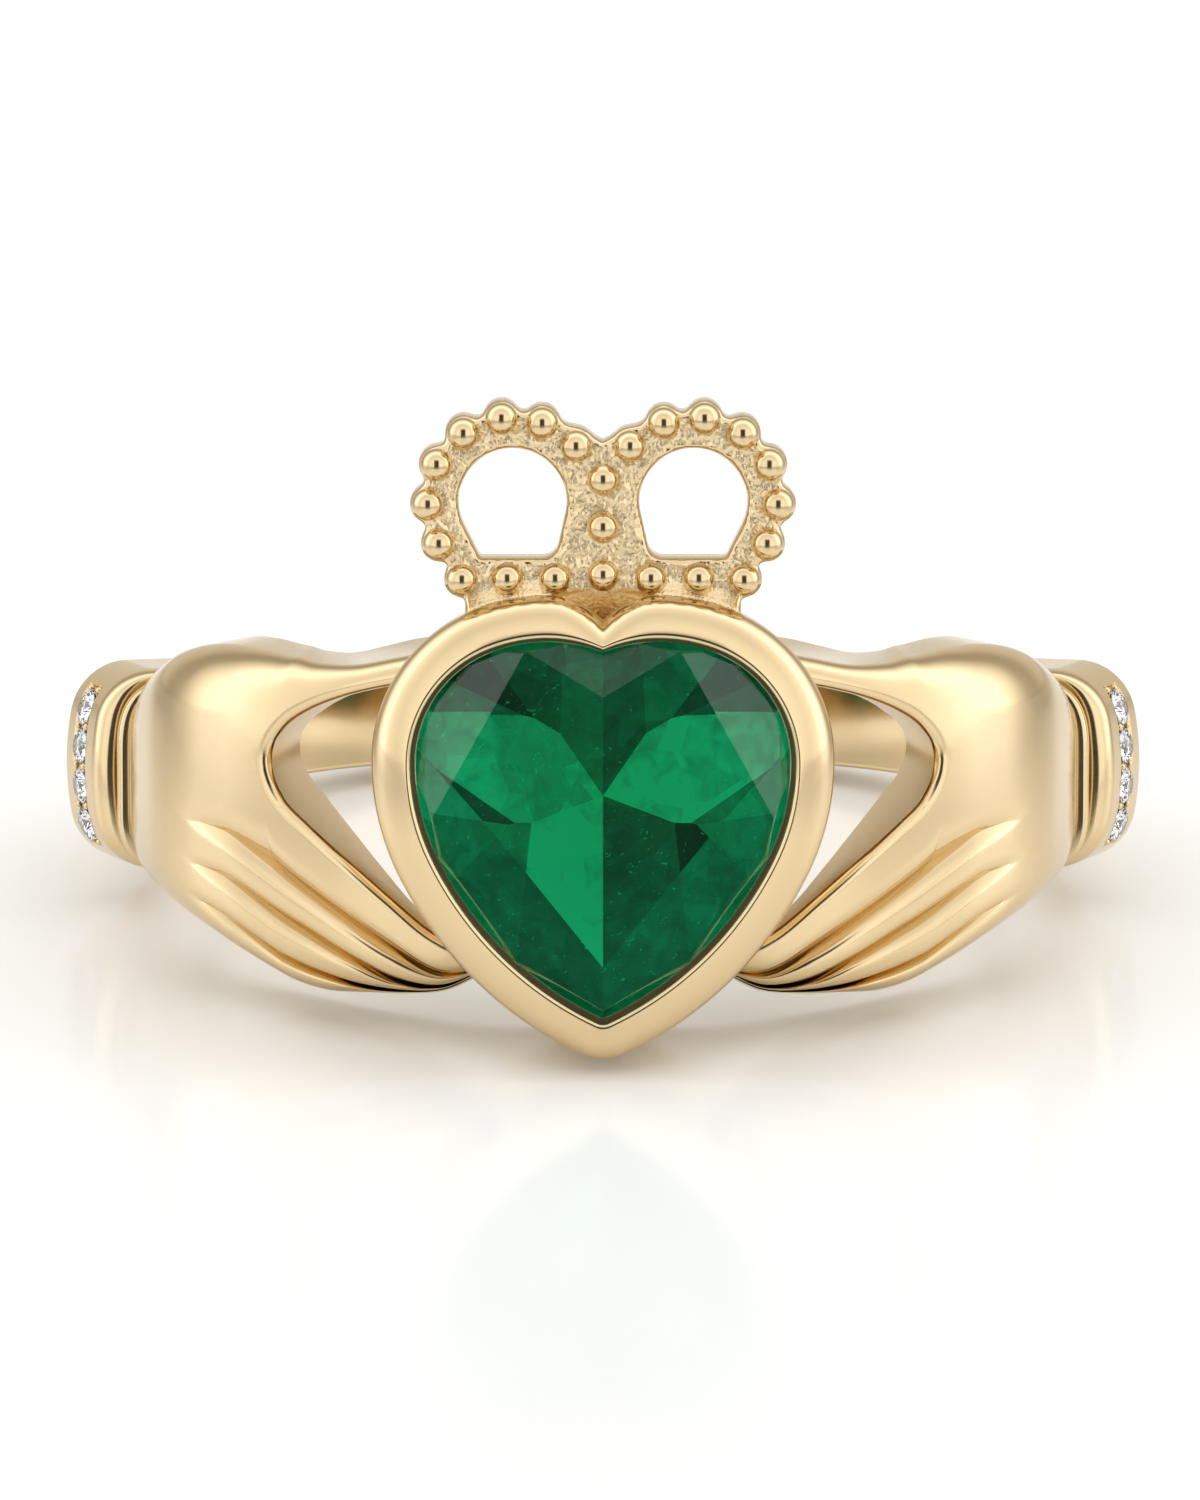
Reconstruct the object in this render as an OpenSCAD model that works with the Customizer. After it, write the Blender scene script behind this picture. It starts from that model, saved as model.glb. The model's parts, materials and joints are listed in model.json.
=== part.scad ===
// Claddagh ring: two hands hold a crowned heart. Millimetres, origin at the middle of the finger hole.
// The ring is built upright, with the finger along Z and the heart towards -Y, and is then leaned back
// until it rests on the point of the heart and the lower edge of the shank behind.

/* [Finger] */
// Diameter of the finger hole
bore_d = 17.3; // [16:0.1:20]

/* [Shank] */
// Width of the shank at the back
shank_w = 1.9; // [1.7:0.05:2.4]
// Width of the shank where it runs into the cuffs
shoulder_w = 3.6; // [3:0.1:3.9]
// Thickness of the shank at its flat sides
shank_side_t = 1.1; // [0.8:0.05:1.5]
// Rise of the shank's rounded outside above its sides
shank_dome = 0.35; // [0.1:0.05:0.5]

/* [Cuffs] */
// Angle from the front to the middle of a cuff
cuff_at = 84; // [82:0.5:88]
// Length of a cuff along the band
cuff_len = 2.25; // [1.8:0.05:2.6]
// Height of a cuff
cuff_h = 4; // [3.9:0.02:4.8]
// Thickness of a cuff at its crest
cuff_t = 1.85; // [1.6:0.05:2.3]
// Rise of a cuff's rounded outside above its ends
cuff_dome = 0.38; // [0.2:0.02:0.6]
// Rounding of a cuff's corners
cuff_corner = 0.5; // [0.3:0.05:0.7]
// Angle at which a cuff opens out towards the back
cuff_flare = 12.5; // [6:0.5:16]
// Width of the channel for the small stones
channel_w = 0.86; // [0.8:0.02:1]
// Distance from the cuff's middle back to the channel's middle
channel_shift = 0.15; // [0:0.05:0.3]
// Depth of the channel
channel_depth = 0.16; // [0.1:0.02:0.3]
// Height of the channel
channel_h = 3.4; // [3.2:0.05:3.6]

/* [Wrists] */
// Thickness of the wrist between a hand and its cuff
wrist_t = 1.12; // [0.9:0.02:1.3]
// Height of the wrist
wrist_h = 3.7; // [3:0.05:3.8]
// Height that the collar stands above the wrist
collar_rise = 0.2; // [0.1:0.02:0.3]
// Width of the collar along the band
collar_w = 0.34; // [0.2:0.02:0.5]

/* [Hands] */
// Height of a hand at its fullest
hand_h = 6.8; // [6.2:0.1:7.2]
// Thickness of a hand at its fullest
hand_t = 2.45; // [2.1:0.05:2.7]
// Rounding of a hand's upper and lower edges
hand_round = 1.0; // [0.5:0.05:1.3]
// Depth of the grooves between the fingers
groove_depth = 0.34; // [0.15:0.02:0.5]
// Slope of the opening's walls, measured over the whole wall
opening_draft = 0.3; // [0:0.02:0.6]
// Rounding of the opening's edges
opening_round = 0.16; // [0.06:0.02:0.24]

/* [Heart] */
// Half the width of the heart's window
window_half_w = 3.6; // [3.2:0.05:3.9]
// Height of the window's widest place above the finger's middle
window_z = 1.3; // [1:0.05:1.5]
// Width of the rim round the window
rim_w = 0.86; // [0.6:0.02:1]
// Height of the rim's crest above the finger
heart_rise = 3.55; // [3.2:0.05:3.9]
// Height of the rim's rounding
rim_roll = 0.5; // [0.3:0.05:0.6]
// Extra depth of the notch in the rim's outer edge
notch_dip = 0.3; // [0:0.02:0.4]
// Depth of the ledge round the window below the rim's crest
ledge_drop = 0.35; // [0.25:0.05:0.45]
// Width of the ledge
ledge_w = 0.1; // [0.06:0.02:0.16]
// Thickness of the lip under the ledge
lip_t = 0.1; // [0.06:0.02:0.2]
// Slope of the heart's outer wall towards the finger, in degrees
wall_slope = 4; // [0:0.5:6]

/* [Crown] */
// Radius of each of the crown's two see-through openings
crown_open_r = 1.04; // [0.8:0.01:1.1]
// Radius of the circle of beads round an opening
crown_loop_r = 1.63; // [1.5:0.01:1.8]
// Distance from the crown's middle to the middle of an opening
crown_loop_x = 1.74; // [1.6:0.01:1.9]
// Height of an opening's middle above the finger's middle
crown_loop_z = 6.26; // [6.1:0.02:6.6]
// Radius of a bead
bead_r = 0.315; // [0.2:0.005:0.36]
// Radius of the scallop behind a bead
scallop_r = 0.345; // [0.33:0.005:0.42]
// Thickness of the crown's plate
crown_t = 1.0; // [0.8:0.05:1.5]
// Distance from the rim's crest back to the crown's face
crown_back = 1.0; // [0.7:0.05:1.3]

/* [Stones] */
// Diameter of each small stone
diamond_d = 0.68; // [0.5:0.02:0.7]
// Spacing of the small stones along the channel
diamond_pitch = 0.8; // [0.8:0.01:0.88]
// Gap round every stone
stone_gap = 0.1; // [0.1:0.01:0.12]
// Width of the heart stone's table as a share of the stone
heart_table = 0.6; // [0.5:0.02:0.7]
// Thickness of the heart stone's edge
heart_girdle_h = 0.1; // [0.05:0.05:0.2]
// Height of the heart stone from its edge to its table
heart_crown_h = 0.5; // [0.3:0.05:0.6]
// Depth of the heart stone below its edge
heart_pavilion_h = 2.55; // [2:0.05:2.7]

/* [Hidden] */
STONES_EACH = 4;
$fn = 48;
BEAD_FN = 16;

gold = [0.85, 0.72, 0.45];
green = [0.0, 0.42, 0.22];
white = [0.9, 0.93, 0.96];

bore_r = bore_d / 2;
// How far solids run past the bore's wall before it is cut
bite = 0.6;
core_r = bore_r - bite;

// The bezel's parts, as distances in front of the finger's middle: a ledge runs round the window, the lip
// under it covers the stone's edge, and the cavity narrows below the stone's edge to a seat
lip_cover = 1.5 * stone_gap;
under_lip = 1.5 * stone_gap;
rim_y = bore_r + heart_rise;
ledge_y = rim_y - ledge_drop;
lip_y = ledge_y - lip_t;
girdle_y = lip_y - under_lip;
seat_y = girdle_y - 0.5;
heart_base_y = core_r * 0.8;
cavity_base_y = core_r * 0.7;

// A window made of arcs that run into each other, as shares of its half width
shoulder_r = 0.632 * window_half_w;
shoulder_sweep = 68;
lobe_r = 0.825 * window_half_w;
cheek_r = 1.163 * window_half_w;
cheek_sweep = 26;
flank_r = 1.85 * window_half_w;
tip_r = 0.042 * window_half_w;
SHARPEST = 0.05;
notch_reach = 0.3 * window_half_w;

// The heart's point and the shank's lower edge carry the ring, and set how far it leans back
function wall_inset(y) = (rim_y - y) * tan(wall_slope);
tip_z = point_z(rim_w - wall_inset(bore_r));
shank_edge_r = bore_r + shank_side_t;
lean = atan((-tip_z - shank_w / 2) / (bore_r + shank_edge_r));

function on_arc(c, r, a) = [c[0] + r * cos(a), c[1] + r * sin(a)];
function shoulder_c() = [window_half_w - shoulder_r, window_z];
function lobe_c() = on_arc(shoulder_c(), shoulder_r - lobe_r, shoulder_sweep);
function cheek_c() = [window_half_w - cheek_r, window_z];
function flank_c() = on_arc(cheek_c(), cheek_r - flank_r, -cheek_sweep);
function point_r(grow) = max(tip_r + grow, SHARPEST);
function point_reach(grow) = sqrt(pow(flank_r + grow - point_r(grow), 2) - pow(flank_c()[0], 2));
function point_c(grow) = [0, flank_c()[1] - point_reach(grow)];
function point_z(grow) = point_c(grow)[1] - point_r(grow);
function arc(c, r, a0, a1, n) = [for (i = [0 : n - 1]) on_arc(c, r, a0 + (a1 - a0) * i / n)];
function dip(p, grow) = [p[0], p[1] - notch_dip * grow / rim_w * pow(max(0, 1 - abs(p[0]) / notch_reach), 2)];

// Right half of the heart from the notch to the point, grown outwards by grow
function half_heart(grow, detail) = let(
    lobe_end = acos(-lobe_c()[0] / (lobe_r + grow)),
    flank_end = -acos(-flank_c()[0] / (flank_r + grow - point_r(grow)))
) concat(
    [for (p = arc(lobe_c(), lobe_r + grow, lobe_end, shoulder_sweep, 3 * detail)) dip(p, max(grow, 0))],
    arc(shoulder_c(), shoulder_r + grow, shoulder_sweep, 0, 5 * detail),
    arc(cheek_c(), cheek_r + grow, 0, -cheek_sweep, 3 * detail),
    arc(flank_c(), flank_r + grow, -cheek_sweep, flank_end, 4 * detail),
    arc(point_c(grow), point_r(grow), flank_end, -90, detail),
    [[0, point_z(grow)]]);
function heart(grow, detail) = let(h = half_heart(grow, detail), n = len(h))
    concat(h, [for (i = [n - 2 : -1 : 1]) [-h[i][0], h[i][1]]]);

// A row is [growth of the outline, distance in front of the finger's middle]
RIM_ROWS = [
    [rim_w - wall_inset(heart_base_y), heart_base_y],
    [rim_w - wall_inset(rim_y - rim_roll), rim_y - rim_roll],
    [rim_w * 0.98, rim_y - rim_roll * 0.52],
    [rim_w * 0.9, rim_y - rim_roll * 0.24],
    [rim_w * 0.74, rim_y - rim_roll * 0.06],
    [rim_w * 0.52, rim_y],
    [rim_w * 0.3, rim_y - rim_roll * 0.1],
    [rim_w * 0.16, rim_y - rim_roll * 0.28]];
CAVITY_ROWS = [
    [-rim_w * 0.3, cavity_base_y],
    [-rim_w * 0.3, seat_y],
    [lip_cover, girdle_y - under_lip],
    [lip_cover, lip_y - under_lip / 3],
    [0, lip_y],
    [0, ledge_y],
    [ledge_w, ledge_y],
    [ledge_w, rim_y + bite]];

module heart_loft(rows, detail) {
    rings = [for (r = rows) [for (p = heart(r[0], detail)) [p[0], -r[1], p[1]]]];
    loft(rings);
}

// Joins rings of as many points each, with the first and last ring closed by a flat face
module loft(rings) {
    n = len(rings[0]);
    m = len(rings);
    sides = [for (j = [0 : m - 2]) for (i = [0 : n - 1]) let(k = (i + 1) % n)
        each quad(j * n + i, j * n + k, (j + 1) * n + k, (j + 1) * n + i)];
    polyhedron([for (r = rings) each r],
        concat([[for (i = [n - 1 : -1 : 0]) i]], sides, [[for (i = [0 : n - 1]) (m - 1) * n + i]]));
}
function quad(a, b, c, d) = [[a, b, c], [a, c, d]];

// A row of the wrist, which has a collar round it at this angle from the front
collar_at = 75.8;
collar_half = collar_w / (bore_r + wrist_t) * 90 / PI;
function wrist_row(a, rise) = let(h = wrist_h / 2 / hand_h)
    [a, h, 0.14, 0.14, 0.04, -0.07, -0.16, -h, (wrist_t + rise) / hand_t, 0];

// A hand, from the wrist to the heart: angle from the front, then heights as shares of hand_h for the
// top, the opening's upper and lower edges, three grooves and the bottom, then the fullness as a share
// of hand_t and the depth of the grooves as a share of groove_depth
ANGLE = 0;
TOP = 1;
OPEN_TOP = 2;
OPEN_LOW = 3;
LOW = 7;
FULL = 8;
GROOVED = 9;
COLLAR_FOOT = 0.4;
HAND = [
    wrist_row(cuff_at + 3, 0),
    wrist_row(collar_at + collar_half + COLLAR_FOOT, 0),
    wrist_row(collar_at + collar_half, collar_rise),
    wrist_row(collar_at - collar_half, collar_rise),
    wrist_row(collar_at - collar_half - COLLAR_FOOT, 0),
    wrist_row(72, 0),
    [68,   0.320, 0.140, 0.140,  0.030, -0.090, -0.185, -0.290, 0.58, 0],
    [60,   0.370, 0.145, 0.145,  0.007, -0.110, -0.213, -0.308, 0.76, 0],
    [54,   0.412, 0.147, 0.147, -0.015, -0.140, -0.235, -0.335, 0.90, 0],
    [48,   0.452, 0.150, 0.150, -0.040, -0.165, -0.265, -0.377, 0.98, 0.05],
    [42,   0.460, 0.151, 0.151, -0.074, -0.209, -0.335, -0.440, 1.00, 0.55],
    [36.2, 0.446, 0.151, 0.151, -0.150, -0.291, -0.424, -0.502, 1.00, 0.95],
    [34.6, 0.440, 0.241, 0.044, -0.177, -0.313, -0.441, -0.513, 1.00, 1],
    [31.5, 0.430, 0.299, -0.029, -0.229, -0.353, -0.468, -0.524, 1.00, 1],
    [27,   0.432, 0.347, -0.125, -0.303, -0.416, -0.500, -0.521, 1.00, 1],
    [22.5, 0.456, 0.378, -0.226, -0.378, -0.478, -0.508, -0.519, 0.98, 1],
    [18,   0.482, 0.397, -0.324, -0.447, -0.490, -0.498, -0.506, 0.96, 0.8],
    [14,   0.496, 0.412, -0.368, -0.438, -0.447, -0.453, -0.459, 0.95, 0.3],
    [11,   0.500, 0.419, -0.360, -0.404, -0.412, -0.418, -0.424, 0.95, 0]];
WRIST_ROWS = 6;
// The row where the opening begins, and the turn of its inner edge towards the wrist
APEX_ROW = 11;
opening_skew = 10;
ROW_STEP = 0.5;
FINGERS = 4;

// Value in a column of the table at row u: straight along the wrist, a smooth curve along the hand
function cell(u, c) = u < WRIST_ROWS - 1 ? wrist_cell(u, c) : let(
    i = min(floor(u), len(HAND) - 2),
    t = u - i,
    p0 = HAND[max(i - 1, 0)][c],
    p1 = HAND[i][c],
    p2 = HAND[i + 1][c],
    p3 = HAND[min(i + 2, len(HAND) - 1)][c]
) p1 + 0.5 * t * (p2 - p0 + t * (2 * p0 - 5 * p1 + 4 * p2 - p3 + t * (3 * (p1 - p2) + p3 - p0)));
function wrist_cell(u, c) = lookup(u, [for (i = [0 : WRIST_ROWS - 1]) [i, HAND[i][c]]]);
function level(u, c) = hand_h * cell(u, c);
function roll(d, w) = let(s = 1 - min(max(d / w, 0), 1)) w * (1 - sqrt(1 - s * s));
function polar(r, a, z) = [r * sin(a), -r * cos(a), z];

// Places of the points across the thumb and across each finger
THUMB_T = [0, 0.05, 0.14, 0.28, 0.46, 0.66, 0.84, 0.94, 1];
FINGER_T = [0, 0.14, 0.5, 0.86];
// Radius of a hand's outside at row u and height z, rounded off towards its edges
function hand_r(u, z) = bore_r + hand_t * cell(u, FULL)
    - roll(level(u, TOP) - z, top_round(u)) - roll(z - level(u, LOW), low_round);
low_round = 0.8 * hand_round;
function top_round(u) = min(hand_round, 0.75 * (level(u, TOP) - level(u, OPEN_TOP)));
function wall_round(u, d) = u > APEX_ROW ? roll(d, opening_round) : 0;
function thumb_ring(u) = let(a = cell(u, ANGLE), top = level(u, TOP), low = level(u, OPEN_TOP)) concat(
    [for (t = THUMB_T) let(z = top + (low - top) * t) polar(hand_r(u, z) - wall_round(u, z - low), a, z)],
    [inner_point(u, low - wall_shift(u)), inner_point(u, top)]);
function finger_ring(u) = let(a = cell(u, ANGLE)) concat(
    [for (f = [0 : FINGERS - 1]) for (t = FINGER_T) finger_point(u, a, f, t)],
    [finger_point(u, a, FINGERS - 1, 1)],
    [inner_point(u, level(u, LOW)), inner_point(u, level(u, OPEN_LOW) + wall_shift(u))]);
function finger_point(u, a, f, t) = let(
    z0 = level(u, OPEN_LOW + f),
    z1 = level(u, OPEN_LOW + f + 1),
    z = z0 + (z1 - z0) * t,
    open_edge = (f == 0 && t < 0.5),
    low_edge = (f == FINGERS - 1 && t > 0.5),
    cut = (open_edge || low_edge) ? 0 : groove_depth * cell(u, GROOVED) * pow(2 * t - 1, 2)
) polar(hand_r(u, z) - cut - wall_round(u, level(u, OPEN_LOW) - z), a, z);
function inner_point(u, z) = polar(core_r, cell(u, ANGLE) + opening_skew * past_wrist(u), z);
function past_wrist(u) = max(0, min(1, (u - WRIST_ROWS) / (APEX_ROW - WRIST_ROWS)));
function wall_shift(u) = opening_draft * min(1, (level(u, OPEN_TOP) - level(u, OPEN_LOW)) / 2);

module right_hand() {
    rows = [for (u = [0 : ROW_STEP : len(HAND) - 1]) u];
    apex = APEX_ROW / ROW_STEP;
    m = len(rows);
    nt = len(THUMB_T) + 2;
    nf = FINGERS * len(FINGER_T) + 3;
    finger_start = m * nt;
    points = concat([for (u = rows) each thumb_ring(u)], [for (u = rows) each finger_ring(u)]);
    // Up to the opening's apex both rings share the points of the line between them
    thumb_id = function(j, i) j * nt + i;
    finger_id = function(j, i) (j <= apex && i == 0) ? thumb_id(j, nt - 3)
        : (j <= apex && i == nf - 1) ? thumb_id(j, nt - 2) : finger_start + j * nf + i;
    thumb_sides = [for (j = [0 : m - 2]) for (i = [0 : nt - 1])
        if (i != nt - 3 || j >= apex) let(k = (i + 1) % nt)
            each quad(thumb_id(j, i), thumb_id(j, k), thumb_id(j + 1, k), thumb_id(j + 1, i))];
    finger_sides = [for (j = [0 : m - 2]) for (i = [0 : nf - 1])
        if (i != nf - 1 || j >= apex) let(k = (i + 1) % nf)
            each quad(finger_id(j, i), finger_id(j, k), finger_id(j + 1, k), finger_id(j + 1, i))];
    caps = concat(
        [for (i = [0 : nt - 3]) [thumb_id(0, nt - 1), thumb_id(0, i + 1), thumb_id(0, i)]],
        [for (i = [0 : nf - 3]) [finger_id(0, nf - 1), finger_id(0, i + 1), finger_id(0, i)]],
        [for (i = [0 : nt - 3]) [thumb_id(m - 1, nt - 1), thumb_id(m - 1, i), thumb_id(m - 1, i + 1)]],
        [for (i = [0 : nf - 3]) [finger_id(m - 1, nf - 1), finger_id(m - 1, i), finger_id(m - 1, i + 1)]]);
    polyhedron(points, concat(thumb_sides, finger_sides, caps));
}

// The shank's D section, swept round the back from one cuff to the other
shank_from = cuff_at + 2;
SHANK_STEPS = 36;
SHANK_TAPER = 8;
// Its outside: share of the dome's rise, share of the half width
SHANK_OUTSIDE = [[0, -1], [0.55, -0.75], [0.9, -0.35], [1, 0], [0.9, 0.35], [0.55, 0.75], [0, 1]];
function shank_half_w(a) = (shank_w + (shoulder_w - shank_w) * pow(sin(a), SHANK_TAPER)) / 2;
function shank_point(a, r, z) = [r * sin(a), r * cos(a), z];
function shank_ring(a) = let(h = shank_half_w(a)) concat(
    [shank_point(a, core_r, -h)],
    [for (p = SHANK_OUTSIDE) shank_point(a, shank_edge_r + shank_dome * p[0], h * p[1])],
    [shank_point(a, core_r, h)]);
module shank() {
    reach = 180 - shank_from;
    loft([for (i = [0 : SHANK_STEPS]) shank_ring(reach - 2 * reach * i / SHANK_STEPS)]);
}

// Stands a shape drawn round the crest of a cuff's outside in its place on the right of the ring
module at_cuff() {
    crest_r = bore_r + cuff_t;
    rotate([0, 0, cuff_at - 90])
        translate([crest_r, 0, 0])
            rotate([0, 0, -cuff_flare]) children();
}
dome_r = (pow(cuff_h / 2, 2) + pow(cuff_dome, 2)) / (2 * cuff_dome);
cuff_root = cuff_t + bite;
module right_cuff() {
    corner_z = cuff_h / 2 - cuff_corner;
    corner_x = sqrt(pow(dome_r - cuff_corner, 2) - pow(corner_z, 2)) - dome_r;
    meet_z = corner_z * dome_r / (dome_r - cuff_corner);
    at_cuff() rotate([90, 0, 0]) linear_extrude(cuff_len, center = true) {
        intersection() {
            translate([-dome_r, 0]) circle(dome_r);
            translate([-cuff_root, -meet_z]) square([cuff_root, 2 * meet_z]);
        }
        translate([-cuff_root, -cuff_h / 2]) square([cuff_root + corner_x, cuff_h]);
        for (s = [-1, 1]) translate([corner_x, s * corner_z]) circle(cuff_corner);
    }
}
module right_channel() {
    at_cuff() translate([0, channel_shift, 0]) rotate([90, 0, 0])
        linear_extrude(channel_w, center = true) intersection() {
            translate([-dome_r, 0]) difference() {
                circle(dome_r + bite);
                circle(dome_r - channel_depth);
            }
            translate([-cuff_root, -channel_h / 2]) square([cuff_root + bite, channel_h]);
        }
}

// Stands a shape in the place of small stone i, with its table towards +X
module at_diamond(i) {
    turn = (i - (STONES_EACH + 1) / 2) * diamond_pitch / dome_r * 180 / PI;
    at_cuff() translate([-dome_r, channel_shift, 0]) rotate([0, turn, 0])
        translate([dome_r - channel_depth, 0, 0]) children();
}
// A small round stone's parts as shares of its diameter, and how far its edge stands above the channel
DIAMOND_TABLE = 0.56;
DIAMOND_CROWN = 0.15;
DIAMOND_GIRDLE = 0.03;
DIAMOND_PAVILION = 0.4;
DIAMOND_EDGES = 16;
girdle_lift = 0.02;
module diamond_seat(i) {
    r = diamond_d / 2 + stone_gap;
    deep = (DIAMOND_GIRDLE + DIAMOND_PAVILION) * diamond_d + stone_gap;
    at_diamond(i) rotate([0, 90, 0]) {
        translate([0, 0, -deep]) cylinder(h = deep, r1 = stone_gap, r2 = r);
        cylinder(h = channel_depth * 2, r = channel_w / 2 - 0.01);
    }
}

// The crown's beads: a circle of them round each opening, a row below and a column between
bead_first = 41.5;
bead_step = 28;
LOOP_BEADS = 8;
column_pitch = 0.565 * crown_loop_r;
row_z = crown_loop_z - 0.86 * crown_loop_r;
row_x = crown_loop_x * 0.53;
loop_c = [crown_loop_x, crown_loop_z];
HALF_BEADS = concat(
    [for (k = [0 : LOOP_BEADS - 1]) on_arc(loop_c, crown_loop_r, 180 - bead_first - bead_step * k)],
    [for (k = [1 : 2]) [row_x * k, row_z]]);
BEADS = concat(HALF_BEADS, [for (p = HALF_BEADS) [-p[0], p[1]]],
    [for (k = [0 : 2]) [0, row_z + column_pitch * k]]);
crown_y = rim_y - crown_back;
crown_foot_w = 3.05 * crown_loop_x;
crown_foot_rise = 0.5;
module crown() {
    translate([0, crown_t - crown_y, 0]) rotate([90, 0, 0]) linear_extrude(crown_t) crown_outline();
    for (p = BEADS) translate([p[0], -crown_y, p[1]]) sphere(bead_r, $fn = BEAD_FN);
}
foot_z = window_z + shoulder_r;
loop_edge = 0.1;
module crown_outline() {
    difference() {
        union() {
            for (p = BEADS) translate(p) circle(scallop_r, $fn = BEAD_FN);
            for (s = [-1, 1]) translate([s * crown_loop_x, crown_loop_z]) circle(crown_loop_r + loop_edge);
            translate([-crown_foot_w / 2, foot_z]) square([crown_foot_w, row_z - foot_z]);
            translate([-crown_loop_x, row_z]) square([2 * crown_loop_x, crown_foot_rise]);
            translate([-scallop_r, row_z]) square([2 * scallop_r, 2 * column_pitch]);
        }
        for (s = [-1, 1]) translate([s * crown_loop_x, crown_loop_z]) crown_opening();
    }
}
// An opening is round with a flat floor, as shares of its radius
OPENING_FLOOR = [[-0.9, -0.3], [-0.58, -1.04], [0.58, -1.04], [0.9, -0.3]];
module crown_opening() {
    circle(crown_open_r);
    polygon(crown_open_r * OPENING_FLOOR);
}

module both_sides() {
    children();
    mirror([1, 0, 0]) children();
}

module ring_casting() {
    color(gold) lean_back() difference() {
        union() {
            shank();
            both_sides() {
                right_cuff();
                right_hand();
            }
            heart_loft(RIM_ROWS, 2);
            crown();
        }
        heart_loft(CAVITY_ROWS, 2);
        cylinder(h = 4 * hand_h, r = bore_r, center = true);
        both_sides() {
            right_channel();
            for (i = [1 : STONES_EACH]) diamond_seat(i);
        }
    }
}
module lean_back() {
    rotate([-lean, 0, 0]) children();
}

// A cut stone with its table towards +Z: edge has an even number of points, counterclockwise from above.
// A ring of points part of the way down divides the pavilion's facets.
LOWER_RING = 0.5;
LOWER_RING_DEPTH = 0.56;
module cut_stone(edge, table_share, crown_h, girdle_h, pavilion_h, middle) {
    n = len(edge);
    h = n / 2;
    shrink = function(p, s) [middle[0] + (p[0] - middle[0]) * s, middle[1] + (p[1] - middle[1]) * s];
    flat = function(p, z) [p[0], p[1], z];
    table = [for (i = [0 : h - 1]) flat(shrink(edge[2 * i], table_share), crown_h)];
    upper = [for (p = edge) flat(p, 0)];
    lower = [for (p = edge) flat(p, -girdle_h)];
    mid_z = -girdle_h - pavilion_h * LOWER_RING_DEPTH;
    mid = [for (i = [0 : h - 1]) flat(shrink(edge[2 * i], LOWER_RING), mid_z)];
    points = concat(table, upper, lower, mid, [flat(middle, -girdle_h - pavilion_h)]);
    t = 0;
    u = h;
    l = h + n;
    m = h + 2 * n;
    faces = concat(
        [[for (i = [0 : h - 1]) h - 1 - i]],
        [for (i = [0 : h - 1]) let(k = (i + 1) % h, a = 2 * i, b = 2 * i + 1, c = (2 * i + 2) % n) each [
            [t + i, u + b, u + a], [t + i, t + k, u + b], [t + k, u + c, u + b],
            [u + a, u + b, l + b], [u + a, l + b, l + a], [u + b, u + c, l + c], [u + b, l + c, l + b],
            [m + i, l + a, l + b], [m + i, l + b, m + k], [m + k, l + b, l + c],
            [m + h, m + i, m + k]]]);
    polyhedron(points, faces);
}

module heart_emerald() {
    outline = heart(lip_cover - stone_gap, 1);
    n = len(outline);
    edge = [for (i = [0 : n - 1]) outline[(n - i) % n]];
    color(green) lean_back() translate([0, -girdle_y, 0]) rotate([90, 0, 0])
        cut_stone(edge, heart_table, heart_crown_h, heart_girdle_h, heart_pavilion_h, [0, window_z * 0.3]);
}

module diamond(i) {
    edge = arc([0, 0], diamond_d / 2, 0, 360, DIAMOND_EDGES);
    color(white) lean_back() at_diamond(i) rotate([0, 90, 0]) translate([0, 0, girdle_lift])
        cut_stone(edge, DIAMOND_TABLE, DIAMOND_CROWN * diamond_d, DIAMOND_GIRDLE * diamond_d,
            DIAMOND_PAVILION * diamond_d, [0, 0]);
}
module left_diamond(i) {
    mirror([1, 0, 0]) diamond(i);
}

ring_casting();
heart_emerald();
for (i = [1 : STONES_EACH]) {
    left_diamond(i);
    diamond(i);
}
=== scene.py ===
import json
import math

import bmesh
import bpy
import numpy as np
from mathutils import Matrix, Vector, noise


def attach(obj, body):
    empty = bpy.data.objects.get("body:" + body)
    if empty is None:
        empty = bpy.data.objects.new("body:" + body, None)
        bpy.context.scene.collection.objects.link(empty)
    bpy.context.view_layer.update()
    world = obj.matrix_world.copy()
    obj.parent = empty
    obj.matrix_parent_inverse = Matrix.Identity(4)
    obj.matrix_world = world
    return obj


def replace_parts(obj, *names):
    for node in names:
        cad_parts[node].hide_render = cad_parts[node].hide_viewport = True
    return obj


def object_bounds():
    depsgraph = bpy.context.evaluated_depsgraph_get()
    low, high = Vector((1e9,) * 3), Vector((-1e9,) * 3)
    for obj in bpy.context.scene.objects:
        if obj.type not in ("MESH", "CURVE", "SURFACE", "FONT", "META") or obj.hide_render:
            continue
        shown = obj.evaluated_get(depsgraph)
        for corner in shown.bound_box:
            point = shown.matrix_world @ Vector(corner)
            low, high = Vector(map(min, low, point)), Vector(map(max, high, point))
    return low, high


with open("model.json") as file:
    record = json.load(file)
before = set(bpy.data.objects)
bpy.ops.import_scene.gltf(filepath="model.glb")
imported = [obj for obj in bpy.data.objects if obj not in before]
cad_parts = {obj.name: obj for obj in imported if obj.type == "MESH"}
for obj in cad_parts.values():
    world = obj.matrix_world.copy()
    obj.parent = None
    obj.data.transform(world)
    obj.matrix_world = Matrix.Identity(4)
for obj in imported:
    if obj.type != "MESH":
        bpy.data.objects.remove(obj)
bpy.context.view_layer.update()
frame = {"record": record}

# The ring lies on its side, so its finger hole leans back a little from upright. Everything below is worked
# out in millimetres with the hole upright, the heart towards -Y and the crown up, and then leaned.
finger_hole = frame["record"]["mounts"][0]
BORE_R = finger_hole["dims"]["r_mm"]
LEAN = math.atan2(finger_hole["axis"][1], finger_hole["axis"][2])
MM = 0.001


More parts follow.
